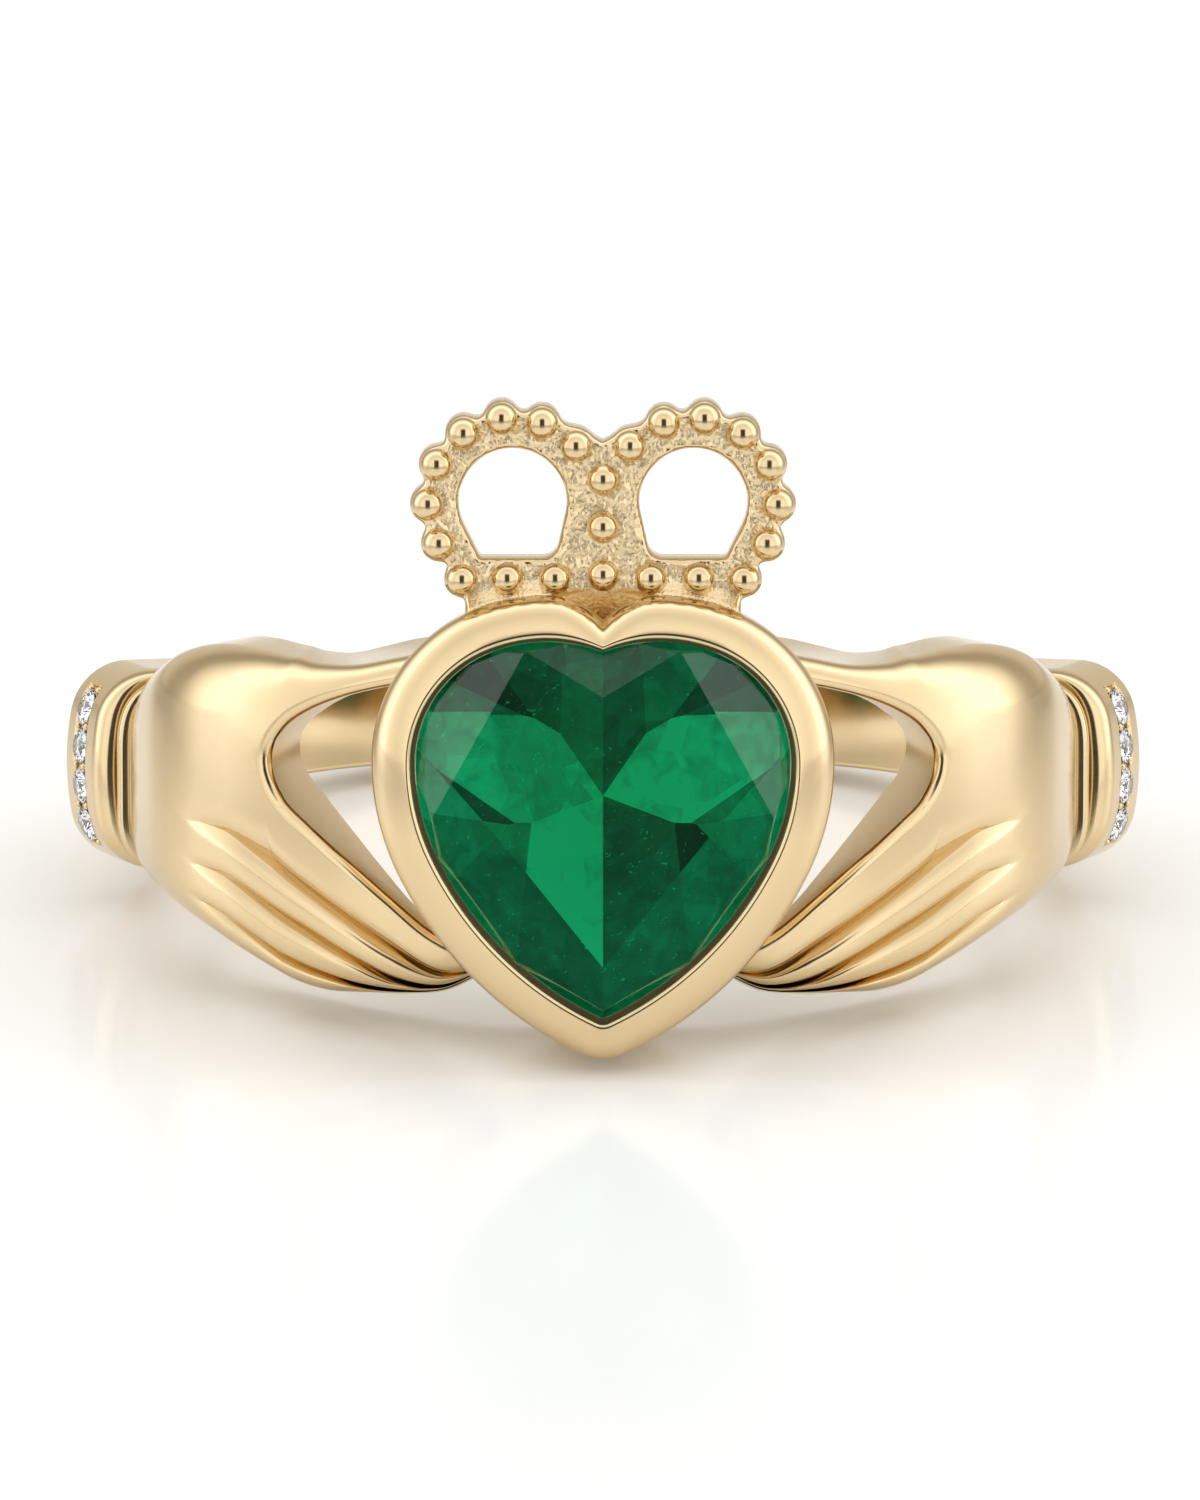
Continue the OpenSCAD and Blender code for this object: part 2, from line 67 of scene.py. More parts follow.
def leaned(points):
    p = np.asarray(points, float).reshape(-1, 3)
    y = p[:, 1] * math.cos(LEAN) + p[:, 2] * math.sin(LEAN)
    z = -p[:, 1] * math.sin(LEAN) + p[:, 2] * math.cos(LEAN)
    return np.c_[p[:, 0], y, z] * MM


# The camera looks at the front of the ring, a little from above its finger hole's middle plane.
CAMERA_RISE = math.radians(6.5) + LEAN
CAMERA_AWAY = 0.28
LENS_MM = 334.7
SENSOR_MM = 36
FRAME_LONG_SIDE = 1500
FRAME_MIDDLE = (600, 750)
RING_MIDDLE = (603, 760)
scene = bpy.context.scene
optics = bpy.data.cameras.new("camera")
optics.lens = LENS_MM
optics.sensor_width = SENSOR_MM
optics.shift_x = -(RING_MIDDLE[0] - FRAME_MIDDLE[0]) / FRAME_LONG_SIDE
optics.shift_y = (RING_MIDDLE[1] - FRAME_MIDDLE[1]) / FRAME_LONG_SIDE
optics.clip_start = 0.02
optics.clip_end = 20
camera = bpy.data.objects.new("camera", optics)
scene.collection.objects.link(camera)
scene.camera = camera
towards_camera = Vector((0, -math.cos(CAMERA_RISE), math.sin(CAMERA_RISE)))
camera.location = towards_camera * CAMERA_AWAY
camera.rotation_euler = (-towards_camera).to_track_quat("-Z", "Y").to_euler()


# 14 karat yellow gold: a pale yellow alloy of gold, silver and copper, cast, filed and then polished on a
# buffing wheel. It mirrors what is round it softly, with the faintest haze.
def linear(hex_colour):
    parts = [int(hex_colour[i:i + 2], 16) / 255 for i in (1, 3, 5)]
    return tuple(c / 12.92 if c <= 0.04045 else ((c + 0.055) / 1.055) ** 2.4 for c in parts) + (1.0,)


def set_up(owner, name, settings):
    """Sets a node's properties, and its sockets to values or to other nodes' outputs."""
    node = owner.node_tree.nodes[name]
    for key, value in settings.items():
        if isinstance(key, str) and hasattr(node, key):
            setattr(node, key, value)
        elif isinstance(value, bpy.types.NodeSocket):
            owner.node_tree.links.new(value, node.inputs[key])
        else:
            node.inputs[key].default_value = value
    return node


def add_node(owner, kind, settings):
    return set_up(owner, owner.node_tree.nodes.new(kind).name, settings)


def maths(owner, operation, *values):
    node = add_node(owner, "ShaderNodeMath", {"operation": operation, **dict(enumerate(values))})
    return node.outputs["Value"]


def mapped(owner, value, start, end, low, high, change="LINEAR"):
    """Takes a value from the range between start and end to the one between low and high."""
    ends = {"From Min": start, "From Max": end, "To Min": low, "To Max": high}
    node = add_node(owner, "ShaderNodeMapRange", {"interpolation_type": change, "Value": value, **ends})
    return node.outputs["Result"]


def place_on_piece(material):
    return add_node(material, "ShaderNodeTexCoord", {}).outputs["Object"]


def grains_of(material, size_mm, detail, distortion=0.0):
    """Noise with grains of a size on the piece."""
    settings = {"Vector": place_on_piece(material), "Scale": 1 / (size_mm * MM), "Detail": detail}
    return add_node(material, "ShaderNodeTexNoise", {**settings, "Distortion": distortion}).outputs["Fac"]


def ramp(owner, value, stops):
    """The colour for a value, on a ramp through stops of (value, colour) in rising order."""
    node = add_node(owner, "ShaderNodeValToRGB", {"Fac": value})
    for n, (position, colour) in enumerate(stops):
        stop = node.color_ramp.elements[n] if n < 2 else node.color_ramp.elements.new(1)
        stop.position = position
        stop.color = colour
    return node.outputs["Color"]


def shade(material, look):
    """Sets up a material's own shader."""
    set_up(material, "Principled BSDF", look)


def new_material(name, look):
    material = bpy.data.materials.new(name)
    material.use_nodes = True
    shade(material, look)
    return material


def gold_finish(name, colour, grain_mm, detail, roughness, relief_mm=0.0):
    """Gold whose roughness varies over grains of a size, and its relief too if it has any."""
    material = new_material(name, {"Base Color": linear(colour), "Metallic": 1.0})
    grain = grains_of(material, grain_mm, detail)
    shade(material, {"Roughness": mapped(material, grain, 0, 1, *roughness)})
    if relief_mm:
        relief = {"Strength": 1.0, "Distance": relief_mm * MM, "Height": grain}
        shade(material, {"Normal": add_node(material, "ShaderNodeBump", relief).outputs["Normal"]})
    return material


# Buffing leaves a slightly uneven haze, a fraction of a millimetre across
GOLD_COLOUR = "#dcc499"
BUFFED_HAZE_MM = 0.35
yellow_gold = gold_finish("polished_14k_yellow_gold", GOLD_COLOUR, BUFFED_HAZE_MM, 3.0, (0.1, 0.17))


# The shank is a plain D-shaped band that closes the ring behind the finger, narrow at the back and wider
# where it runs into the cuffs. It is cast with the rest and polished inside and out.
SHANK_W = 1.9
SHOULDER_W = 3.6
SHANK_SIDE_T = 1.1
SHANK_DOME = 0.35
SHANK_TAPER = 8
SHANK_OUTER_EDGE = 0.12
SHANK_INNER_EDGE = 0.1
SHANK_STEPS = 160
CUFF_AT = math.radians(84)
# Both ends of the shank stop this angle short of the cuffs' middles
SHORT_OF_MIDDLE = 0.02
# Where a cuff covers it, a wall on the finger hole sinks slowly behind the cuff's own wall, by END_SUNK in
# all. The shank's does so between these degrees from the back
END_SUNK = 0.05
SHANK_COVERED = (85.6, 94.6)


def progress(value, start, end):
    """How far a value is from start to end, as 0 to 1."""
    return min(max((value - start) / (end - start), 0), 1)


def hole_wall(degrees, covered):
    """The radius of a wall on the finger hole, which sinks behind a cuff's between two angles."""
    return BORE_R + END_SUNK * progress(degrees, *covered)


def finish_mesh(mesh, sharp_deg, weld_mm=0.0):
    """Joins points closer than weld_mm, turns the faces outwards and smooths all but sharp edges."""
    bm = bmesh.new()
    bm.from_mesh(mesh)
    if weld_mm:
        bmesh.ops.remove_doubles(bm, verts=bm.verts, dist=weld_mm * MM)
    bmesh.ops.recalc_face_normals(bm, faces=bm.faces)
    bm.to_mesh(mesh)
    bm.free()
    mesh.shade_smooth()
    mesh.set_sharp_from_angle(angle=math.radians(sharp_deg))


def piece(name, points, faces, material, sharp_deg=35):
    """A closed mesh of the ring in its leaned place, smooth but for edges sharper than sharp_deg."""
    mesh = bpy.data.meshes.new(name)
    mesh.from_pydata(leaned(points).tolist(), [], faces)
    finish_mesh(mesh, sharp_deg)
    mesh.materials.append(material)
    obj = bpy.data.objects.new(name, mesh)
    scene.collection.objects.link(obj)
    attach(obj, "root")
    return obj


def gold_piece(name, points, faces, sharp_deg=35):
    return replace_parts(piece(name, points, faces, yellow_gold, sharp_deg), "ring_casting")


def ring_faces(rows, across, closed_rows=False, capped=True):
    """Faces of a loft through closed rings of points: rows of them, with as many points across each."""
    j, i = np.meshgrid(np.arange(rows if closed_rows else rows - 1), np.arange(across), indexing="ij")
    k, below = (i + 1) % across, (j + 1) % rows
    faces = np.stack([j * across + i, j * across + k, below * across + k, below * across + i], -1)
    faces = faces.reshape(-1, 4).tolist()
    if capped and not closed_rows:
        faces += [list(range(across))[::-1], list(range((rows - 1) * across, rows * across))]
    return faces


def rounded(corners, steps=6):
    """A closed outline through corners given as (x, y, radius of rounding)."""
    out = []
    count = len(corners)
    for n, (x, y, r) in enumerate(corners):
        here = np.array([x, y], float)
        before = np.array(corners[n - 1][:2], float) - here
        after = np.array(corners[(n + 1) % count][:2], float) - here
        before /= np.linalg.norm(before)
        after /= np.linalg.norm(after)
        half = math.acos(np.clip(before @ after, -1, 1)) / 2
        nearly_straight = half > 1.5
        if r <= 0 or nearly_straight:
            out.append(here)
            continue
        start, end = here + before * r / math.tan(half), here + after * r / math.tan(half)
        middle = here + (before + after) / np.linalg.norm(before + after) * r / math.sin(half)
        for t in np.linspace(0, 1, steps):
            p = start + (end - start) * t - middle
            out.append(middle + p / np.linalg.norm(p) * r)
    return np.array(out)


def shank_ring(angle):
    """The D section at an angle from the back: a flat inside, straight sides and a domed outside."""
    half_w = (SHANK_W + (SHOULDER_W - SHANK_W) * math.sin(angle) ** SHANK_TAPER) / 2
    edge_r = BORE_R + SHANK_SIDE_T
    inner_r = hole_wall(math.degrees(abs(angle)), SHANK_COVERED)
    dome = [(edge_r + SHANK_DOME * (1 - t * t), half_w * t, SHANK_OUTER_EDGE if abs(t) == 1 else 0)
            for t in np.linspace(1, -1, 17)]
    section = rounded([(inner_r, -half_w, SHANK_INNER_EDGE), (inner_r, half_w, SHANK_INNER_EDGE)] + dome)
    return [(r * math.sin(angle), r * math.cos(angle), z) for r, z in section]


shank_reach = math.pi - CUFF_AT - SHORT_OF_MIDDLE
shank_rows = [shank_ring(a) for a in np.linspace(shank_reach, -shank_reach, SHANK_STEPS)]
gold_piece("back_shank", np.array(shank_rows).reshape(-1, 3), ring_faces(SHANK_STEPS, len(shank_rows[0])))


# A raised cuff stands each side between the shank and the wrist: a short domed block with rounded corners. A
# channel is cut along its crest for four small stones, each in a drilled seat with shared grains of gold.
CUFF_LEN = 2.25
CUFF_H = 4.0
CUFF_T = 1.85
CUFF_DOME = 0.38
CUFF_CORNER = 1.2
CUFF_EDGE = 0.13
CUFF_FRONT_EDGE = 0.4
# The front edge draws the cuff's ends in less than it lowers its crest
FRONT_EDGE_IN = 0.3
CUFF_FLARE = math.radians(12.5)
CHANNEL_W = 0.86
CHANNEL_H = 3.4
CHANNEL_SHIFT = 0.15
CHANNEL_DEPTH = 0.05
CHANNEL_WALL = 0.04
STONES_EACH = 4
DIAMOND_PITCH = 0.8
SEAT_R = 0.39
SEAT_DEPTH = 0.8 * SEAT_R
GRAIN_R = 0.075
GRAIN_ASIDE = 0.26
GRAIN_LIFT = 0.02
DOME_R = ((CUFF_H / 2) ** 2 + CUFF_DOME ** 2) / (2 * CUFF_DOME)
SIDES = {"left": -1, "right": 1}


def at_cuff(points):
    """Takes points drawn round the crest of a cuff's outside to the right of the ring."""
    p = np.asarray(points, float)
    c, s = math.cos(-CUFF_FLARE), math.sin(-CUFF_FLARE)
    x, y = p[..., 0] * c - p[..., 1] * s + BORE_R + CUFF_T, p[..., 0] * s + p[..., 1] * c
    c, s = math.cos(CUFF_AT - math.pi / 2), math.sin(CUFF_AT - math.pi / 2)
    return np.stack([x * c - y * s, x * s + y * c, p[..., 2]], -1)


def cuff_floor(along):
    """Where the finger hole's wall lies under a place along the cuff, seen from its crest."""
    start, ahead = at_cuff([(0, along, 0), (1, along, 0)])[:, :2]
    step = ahead - start
    b, c = start @ step, start @ start - BORE_R ** 2
    return -b + math.sqrt(b * b - c)


def edge_drop(distance, radius):
    """How far a rounded edge falls away at a distance in from it."""
    s = 1 - np.clip(np.asarray(distance, float) / radius, 0, 1)
    return radius * (1 - np.sqrt(1 - s * s))


def soft_drop(distance, radius):
    """The same for a form that the buff has run together with its edge: it starts to fall more gently."""
    s = 1 - np.clip(np.asarray(distance, float) / (1.5 * radius), 0, 1)
    return radius * (1 - np.sqrt(1 - s ** 3))


def stone_at(n):
    return (n - (STONES_EACH + 1) / 2) * DIAMOND_PITCH


def cuff_outline():
    """The cuff's outside from its lower to its upper edge: x, z, the way it faces and how far round it is."""
    corner_z = CUFF_H / 2 - CUFF_CORNER
    corner_x = math.sqrt((DOME_R - CUFF_CORNER) ** 2 - corner_z ** 2) - DOME_R
    turn = math.atan2(corner_z, corner_x + DOME_R)
    dome = np.linspace(-turn, turn, 80)
    corner = np.linspace(math.pi / 2, turn, 50)[:-1]
    low = [(corner_x + CUFF_CORNER * math.cos(a), -corner_z - CUFF_CORNER * math.sin(a), -a) for a in corner]
    mid = [(-DOME_R + DOME_R * math.cos(a), DOME_R * math.sin(a), a) for a in dome]
    high = [(x, -z, -a) for x, z, a in reversed(low)]
    line = np.array(low + mid + high)
    arc = np.concatenate([[0], np.cumsum(np.hypot(*np.diff(line[:, :2], axis=0).T))])
    arc -= arc[-1] / 2
    walls = [s * (CHANNEL_H / 2 - w) for s in (-1, 1) for w in (-0.01, 0, CHANNEL_WALL / 2, CHANNEL_WALL)]
    at = np.unique(np.concatenate([arc, walls]))
    return np.stack([np.interp(at, arc, column) for column in line.T] + [at], -1)


def cuff_ring(along, outline):
    """The cuff's section at a place along it, closed by the finger hole's wall."""
    back = edge_drop(CUFF_LEN / 2 - along, CUFF_EDGE)
    front = edge_drop(CUFF_LEN / 2 + along, CUFF_FRONT_EDGE)
    x, z, a, arc = outline.T
    across = along - CHANNEL_SHIFT
    side = np.clip((CHANNEL_W / 2 - abs(across)) / CHANNEL_WALL, 0, 1)
    end = np.clip((CHANNEL_H / 2 - np.abs(arc)) / CHANNEL_WALL, 0, 1)
    cut = CHANNEL_DEPTH * np.minimum(side, end)
    for n in range(1, STONES_EACH + 1):
        away = np.hypot(across, arc - stone_at(n))
        on_floor = cut > CHANNEL_DEPTH * 0.9
        cut += np.where(on_floor, np.clip(SEAT_R - away, 0, SEAT_DEPTH), 0)
    x = x - (back + front + cut) * np.cos(a)
    z = z - (back + FRONT_EDGE_IN * front + cut) * np.sin(a)
    inner = cuff_floor(along)
    edges = [(inner, along, z[-1]), (inner, along, z[0])]
    return at_cuff([(px, along, pz) for px, pz in zip(x, z)] + edges)


half_len = CUFF_LEN / 2
back_rows = half_len - CUFF_EDGE * (1 - np.cos(np.linspace(0, math.pi / 2, 8)))
front_rows = CUFF_FRONT_EDGE * (1 - np.cos(np.linspace(0, math.pi / 2, 18))) - half_len
channel_sides = [CHANNEL_SHIFT + s * (CHANNEL_W / 2 - w) for s in (-1, 1) for w in (0, 0.02, CHANNEL_WALL)]
alongs = np.unique(np.concatenate([back_rows, front_rows, channel_sides,
                                   np.linspace(front_rows[-1], back_rows[-1], 60)]).round(6))
outline = cuff_outline()
right_cuff = np.array([cuff_ring(s, outline) for s in alongs])
for side, sign in SIDES.items():
    gold_piece(f"{side}_cuff", right_cuff.reshape(-1, 3) * (sign, 1, 1), ring_faces(*right_cuff.shape[:2]))


def on_crest(n, along, across, height):
    """A point over the channel's floor, from the middle of the n-th stone: along, across and out."""
    x, z, a = (np.interp(stone_at(n), outline[:, 3], outline[:, k]) for k in range(3))
    out = height - CHANNEL_DEPTH
    return at_cuff([(x + out * math.cos(a) - across * math.sin(a), CHANNEL_SHIFT + along,
                     z + out * math.sin(a) + across * math.cos(a))])[0]


def ball(middle, radius, rings=10, across=16):
    """Points and faces of a small ball."""
    turns = np.linspace(0, 2 * math.pi, across, endpoint=False)
    points = [(0, 0, radius)]
    for j in range(1, rings):
        a = math.pi * j / rings
        r = radius * math.sin(a)
        points += [(r * math.cos(b), r * math.sin(b), radius * math.cos(a)) for b in turns]
    points.append((0, 0, -radius))
    last = len(points) - 1
    faces = [[0, 1 + i, 1 + (i + 1) % across] for i in range(across)]
    faces += [[1 + (j + di) * across + (i + k) % across for di, k in ((0, 0), (1, 0), (1, 1), (0, 1))]
              for j in range(rings - 2) for i in range(across)]
    faces += [[last, last - across + (i + 1) % across, last - across + i] for i in range(across)]
    return np.array(points) + middle, faces


def together(parts):
    """One list of points and faces from several."""
    points, faces, start = [], [], 0
    for p, f in parts:
        points.append(p)
        faces += [[start + i for i in face] for face in f]
        start += len(p)
    return np.concatenate(points), faces


for side, sign in SIDES.items():
    grains = [ball(on_crest(n + 0.5, along, 0, GRAIN_LIFT), GRAIN_R)
              for n in range(STONES_EACH + 1) for along in (-GRAIN_ASIDE, GRAIN_ASIDE)]
    points, faces = together(grains)
    gold_piece(f"{side}_setting_grains", points * (sign, 1, 1), faces, sharp_deg=80)


# A hand each side holds the heart: a narrow wrist with a thin collar, a full back, a thumb along the top and
# four fingers below, with an opening between them. It is carved in the wax, cast in one with the ring and
# polished, so its grooves are crisp and its edges are soft.
WRIST_T = 1.12
WRIST_H = 3.7
COLLAR_RISE = 0.2
COLLAR_W = 0.34
COLLAR_AT = 75.8
HAND_H = 6.8
HAND_T = 2.45
HAND_ROUND = 1.0
LOW_ROUND = 0.8 * HAND_ROUND
GROOVE_DEPTH = 0.31
RIB_CREST = 0.56
RIB_FLATNESS = 3.2
BACK_BULGE = 0.28
BULGE_ROWS = 3
OPENING_DRAFT = 0.3
OPENING_ROUND = 0.2
OPENING_SKEW = 10
THUMB_ROUND = 0.42
END_BEND = (0.83, 0.58)
CORE_DEPTH = 0.6
FINGERS = 4
# The wrist's wall on the finger hole sinks behind the cuff's between these degrees from the front
WRIST_COVERED = (79.4, 86.4)
# From the second of these degrees to the first the thumb's upper edge is rounded less
THUMB_THINS = (27, 50)
# Past the opening's round end its edges slant: how far off they are as a share of the height from them, by
# how much that share grows with each row, and the most
LIP_SHARE, LIP_GROWTH, LIP_MOST = 0.72, 0.13, 0.85
ANGLE, TOP, OPEN_TOP, OPEN_LOW, LOW, FULL, GROOVED = 0, 1, 2, 3, 7, 8, 9


def wrist_row(angle):
    """Angle from the front, heights as shares of HAND_H, fullness as a share of HAND_T and no grooves."""
    half = math.degrees(COLLAR_W / (BORE_R + WRIST_T)) / 2
    away = abs(angle - COLLAR_AT) / half
    rise = COLLAR_RISE * math.sqrt(max(0, 1 - away ** 4)) if away < 1 else 0
    h = WRIST_H / 2 / HAND_H
    return [angle, h, 0.14, 0.14, 0.04, -0.07, -0.16, -h, (WRIST_T + rise) / HAND_T, 0]


# From the wrist to the heart: angle from the front, then as shares of HAND_H the top, the opening's upper and
# lower edges, three grooves and the bottom, then the fullness and the depth of the grooves
HAND = np.array([
    wrist_row(74),
    wrist_row(72),
    [68,   0.320, 0.140, 0.140,  0.030, -0.090, -0.185, -0.290, 0.58, 0],
    [60,   0.386, 0.145, 0.145,  0.007, -0.110, -0.213, -0.308, 0.76, 0],
    [54,   0.428, 0.147, 0.147, -0.015, -0.140, -0.235, -0.335, 0.90, 0],
    [48,   0.450, 0.150, 0.150, -0.040, -0.165, -0.265, -0.377, 0.98, 0.05],
    [42,   0.452, 0.151, 0.151, -0.074, -0.209, -0.335, -0.440, 1.00, 0.55],
    [36.2, 0.442, 0.151, 0.151, -0.150, -0.291, -0.424, -0.502, 1.00, 0.95],
    [34.6, 0.440, 0.241, 0.044, -0.177, -0.313, -0.441, -0.513, 1.00, 1],
    [31.5, 0.430, 0.299, -0.029, -0.229, -0.353, -0.468, -0.524, 1.00, 1],
    [27,   0.432, 0.347, -0.125, -0.303, -0.416, -0.500, -0.521, 1.00, 1],
    [22.5, 0.456, 0.378, -0.226, -0.378, -0.478, -0.508, -0.519, 0.98, 1],
    [18,   0.482, 0.397, -0.324, -0.447, -0.490, -0.498, -0.506, 0.96, 0.8],
    [14,   0.496, 0.412, -0.368, -0.438, -0.447, -0.453, -0.459, 0.95, 0.3],
    [11,   0.500, 0.419, -0.360, -0.404, -0.412, -0.418, -0.424, 0.95, 0]])
WRIST_END = 1
APEX = 7
ROWS_PER_STEP = 10


def hand_row(u):
    """The table's row at u, on a smooth curve through its rows. The opening's end is round."""
    i = min(int(u), len(HAND) - 2)
    t = u - i
    opening = [OPEN_TOP, OPEN_LOW]
    if i == APEX:
        step = HAND[i + 1] - HAND[i]
        row = HAND[i] + step * t
        row[opening] = HAND[i, opening] + step[opening] * t ** 0.5
        return row
    p0, p1, p2, p3 = (HAND[min(max(i + k, 0), len(HAND) - 1)] for k in (-1, 0, 1, 2))
    row = p1 + 0.5 * t * (p2 - p0 + t * (2 * p0 - 5 * p1 + 4 * p2 - p3 + t * (3 * (p1 - p2) + p3 - p0)))
    if i < APEX:
        row[opening] = p1[OPEN_TOP] + (p2[OPEN_TOP] - p1[OPEN_TOP]) * t
    return row


# The rows of points lie closer over the collar and round the opening's end
wrist_angles = np.concatenate([np.linspace(87, 77, 12), np.linspace(76.9, 74.7, 24)])
wrist_rows = [(np.array(wrist_row(a)), 0) for a in wrist_angles]
us = np.arange(0, (len(HAND) - 1) * ROWS_PER_STEP + 1) / ROWS_PER_STEP
near_end = np.concatenate([-0.2 * np.linspace(1, 0, 12)[1:-1] ** 1.5, (np.arange(1, 20) / 20) ** 2])
us = np.sort(np.concatenate([us[us <= APEX], APEX + near_end, us[us > APEX + 0.99]]))
hand_rows = [(hand_row(u), u) for u in us]


def hand_section(row, u):
    """The thumb's ring and the fingers' ring of points at one place along a hand."""
    angle, full = math.radians(row[ANGLE]), HAND_T * row[FULL]
    top, open_top, low = (HAND_H * row[c] for c in (TOP, OPEN_TOP, LOW))
    marks = HAND_H * row[OPEN_LOW:LOW + 1]
    open_low = marks[0]
    thick = progress(row[ANGLE], *THUMB_THINS)
    top_round = THUMB_ROUND + (HAND_ROUND - THUMB_ROUND) * thick * thick * (3 - 2 * thick)
    gap = open_top - open_low
    before = math.radians(row[ANGLE] - HAND[APEX, ANGLE]) * (BORE_R + HAND_T)
    middle = HAND_H * HAND[APEX, OPEN_TOP]
    bulge = BACK_BULGE * progress(u, WRIST_END, WRIST_END + BULGE_ROWS)
    lip_share = min(LIP_SHARE + LIP_GROWTH * (u - APEX - 1), LIP_MOST)

    def outside(z, cut, wall):
        bend = np.where(z > middle, END_BEND[0], END_BEND[1])
        to_end = (before + bend * (z - middle) ** 2) / np.sqrt(1 + (2 * bend * (z - middle)) ** 2)
        lip = to_end if u < APEX + 1 else wall * lip_share
        r = BORE_R + full - cut - soft_drop(top - z, top_round) - soft_drop(z - low, LOW_ROUND)
        r = r - edge_drop(np.maximum(lip, 0), OPENING_ROUND)
        r = r - bulge * ((z - 0.5 * middle) / (HAND_H / 2)) ** 2
        return np.stack([r * math.sin(angle), -r * math.cos(angle), z], -1)

    skew = math.radians(OPENING_SKEW) * progress(u, WRIST_END, APEX)

    def inside(outer, z):
        """The edge on the finger hole's wall, on the way to a deeper point that the wall cuts off."""
        core_r = BORE_R - CORE_DEPTH
        inner_r = hole_wall(row[ANGLE], WRIST_COVERED)
        deep = np.array([core_r * math.sin(angle + skew), -core_r * math.cos(angle + skew), z])
        step = deep - outer
        a, b, c = step[:2] @ step[:2], outer[:2] @ step[:2], outer[:2] @ outer[:2] - inner_r ** 2
        return outer + step * ((-b - math.sqrt(b * b - a * c)) / a)

    shift = OPENING_DRAFT * min(1, gap / 2)
    t = 0.5 - 0.5 * np.cos(np.linspace(0, math.pi, 44))
    z = top + (open_top - top) * t
    thumb = outside(z, 0, z - open_top)
    thumb = np.concatenate([thumb, [inside(thumb[-1], open_top - shift), inside(thumb[0], top)]])
    z, cut = [], []
    for f in range(FINGERS):
        t = np.linspace(0, 1, 33)[:-1] ** 1.6 if f == 0 else np.linspace(0, 1, 17)[:-1]
        z.append(marks[f] + (marks[f + 1] - marks[f]) * t)
        edge = ((f == 0) & (t < RIB_CREST)) | ((f == FINGERS - 1) & (t > RIB_CREST))
        away = np.where(t < RIB_CREST, 1 - t / RIB_CREST, (t - RIB_CREST) / (1 - RIB_CREST))
        cut.append(np.where(edge, 0, GROOVE_DEPTH * row[GROOVED] * away ** RIB_FLATNESS))
    z, cut = np.concatenate(z + [[low]]), np.concatenate(cut + [[0]])
    fingers = outside(z, cut, open_low - z)
    fingers = np.concatenate([fingers, [inside(fingers[-1], low), inside(fingers[0], open_low + shift)]])
    return thumb, fingers


sections = [hand_section(row, u) for row, u in wrist_rows + hand_rows]
first_open = len(wrist_rows) + int(np.sum(us < APEX - 1e-6))
thumb_points, finger_points = (np.array(points) for points in zip(*sections))
nt, nf = thumb_points.shape[1], finger_points.shape[1]
for j in range(first_open + 1):
    finger_points[j, 0], finger_points[j, nf - 1] = thumb_points[j, nt - 3], thumb_points[j, nt - 2]


def faces_along(across, wall):
    """Leaves out the wall between thumb and fingers up to the opening, where they are one form."""
    return [f for n, f in enumerate(ring_faces(len(sections), across))
            if n >= (len(sections) - 1) * across or n % across != wall or n // across >= first_open]


hand_points, hand_faces = together([(thumb_points.reshape(-1, 3), faces_along(nt, nt - 3)),
                                    (finger_points.reshape(-1, 3), faces_along(nf, nf - 1))])

# The walls of the opening are only filed, since no buff gets into it, so they reflect more softly
FILED_MM = 0.12
FILED_RELIEF_MM = 0.006
filed_gold = gold_finish("filed_14k_yellow_gold", GOLD_COLOUR, FILED_MM, 2.0, (0.3, 0.42), FILED_RELIEF_MM)
fingers_from = len(sections) * nt
wall_edges = [{nt - 3, nt - 2}, {fingers_from, fingers_from + nf - 1}]


def in_opening(face):
    """Whether a face is part of the opening's wall, by its points' places round their ring."""
    if len(face) != 4:
        return False
    start, across = (0, nt) if face[0] < fingers_from else (fingers_from, nf)
    return {start + (i - start) % across for i in face} in wall_edges


opening_walls = [n for n, face in enumerate(hand_faces) if in_opening(face)]
for side, sign in SIDES.items():
    hand = gold_piece(f"{side}_hand", hand_points * (sign, 1, 1), hand_faces)
    hand.data.materials.append(filed_gold)
    for n in opening_walls:
        hand.data.polygons[n].material_index = 1
    # The thumb and the fingers share points up to the opening
    finish_mesh(hand.data, 35, 0.0005)


# The bezel is a full rim round the heart stone: a wall that rises from the finger hole and rolls over
# towards the stone, highest at its inner edge. Inside it is a thin bright ledge that was burnished down on
# the stone's edge. It is polished yellow gold like the hands, which run into it.
WINDOW_HALF_W = 3.6
WINDOW_Z = 1.3
RIM_W = 0.86
RIM_ROLL = 0.7
RIM_EDGE_R = 0.08
RIM_FACING = math.radians(66)
HEART_RISE = 3.55
NOTCH_DIP = 0.3
LEDGE_DROP = 0.35
LEDGE_W = 0.1
LEDGE_EDGE = 0.02
LIP_T = 0.1
LIP_COVER = 0.15
UNDER_LIP = 0.15
SEAT_IN = LIP_COVER - 0.06
CAVITY_IN = -0.3 * RIM_W
CAVITY_DROP = 0.5
WALL_SLOPE = math.tan(math.radians(4))
SHOULDER_R, LOBE_R, CHEEK_R, FLANK_R, TIP_R, NOTCH_REACH = (
    share * WINDOW_HALF_W for share in (0.632, 0.825, 1.163, 1.85, 0.042, 0.3))
SHOULDER_SWEEP = math.radians(68)
CHEEK_SWEEP = math.radians(26)
RIM_Y = BORE_R + HEART_RISE
GIRDLE_Y = RIM_Y - LEDGE_DROP - LIP_T - UNDER_LIP


def on_arc(c, r, a):
    return np.stack([c[0] + r * np.cos(a), c[1] + r * np.sin(a)], -1)


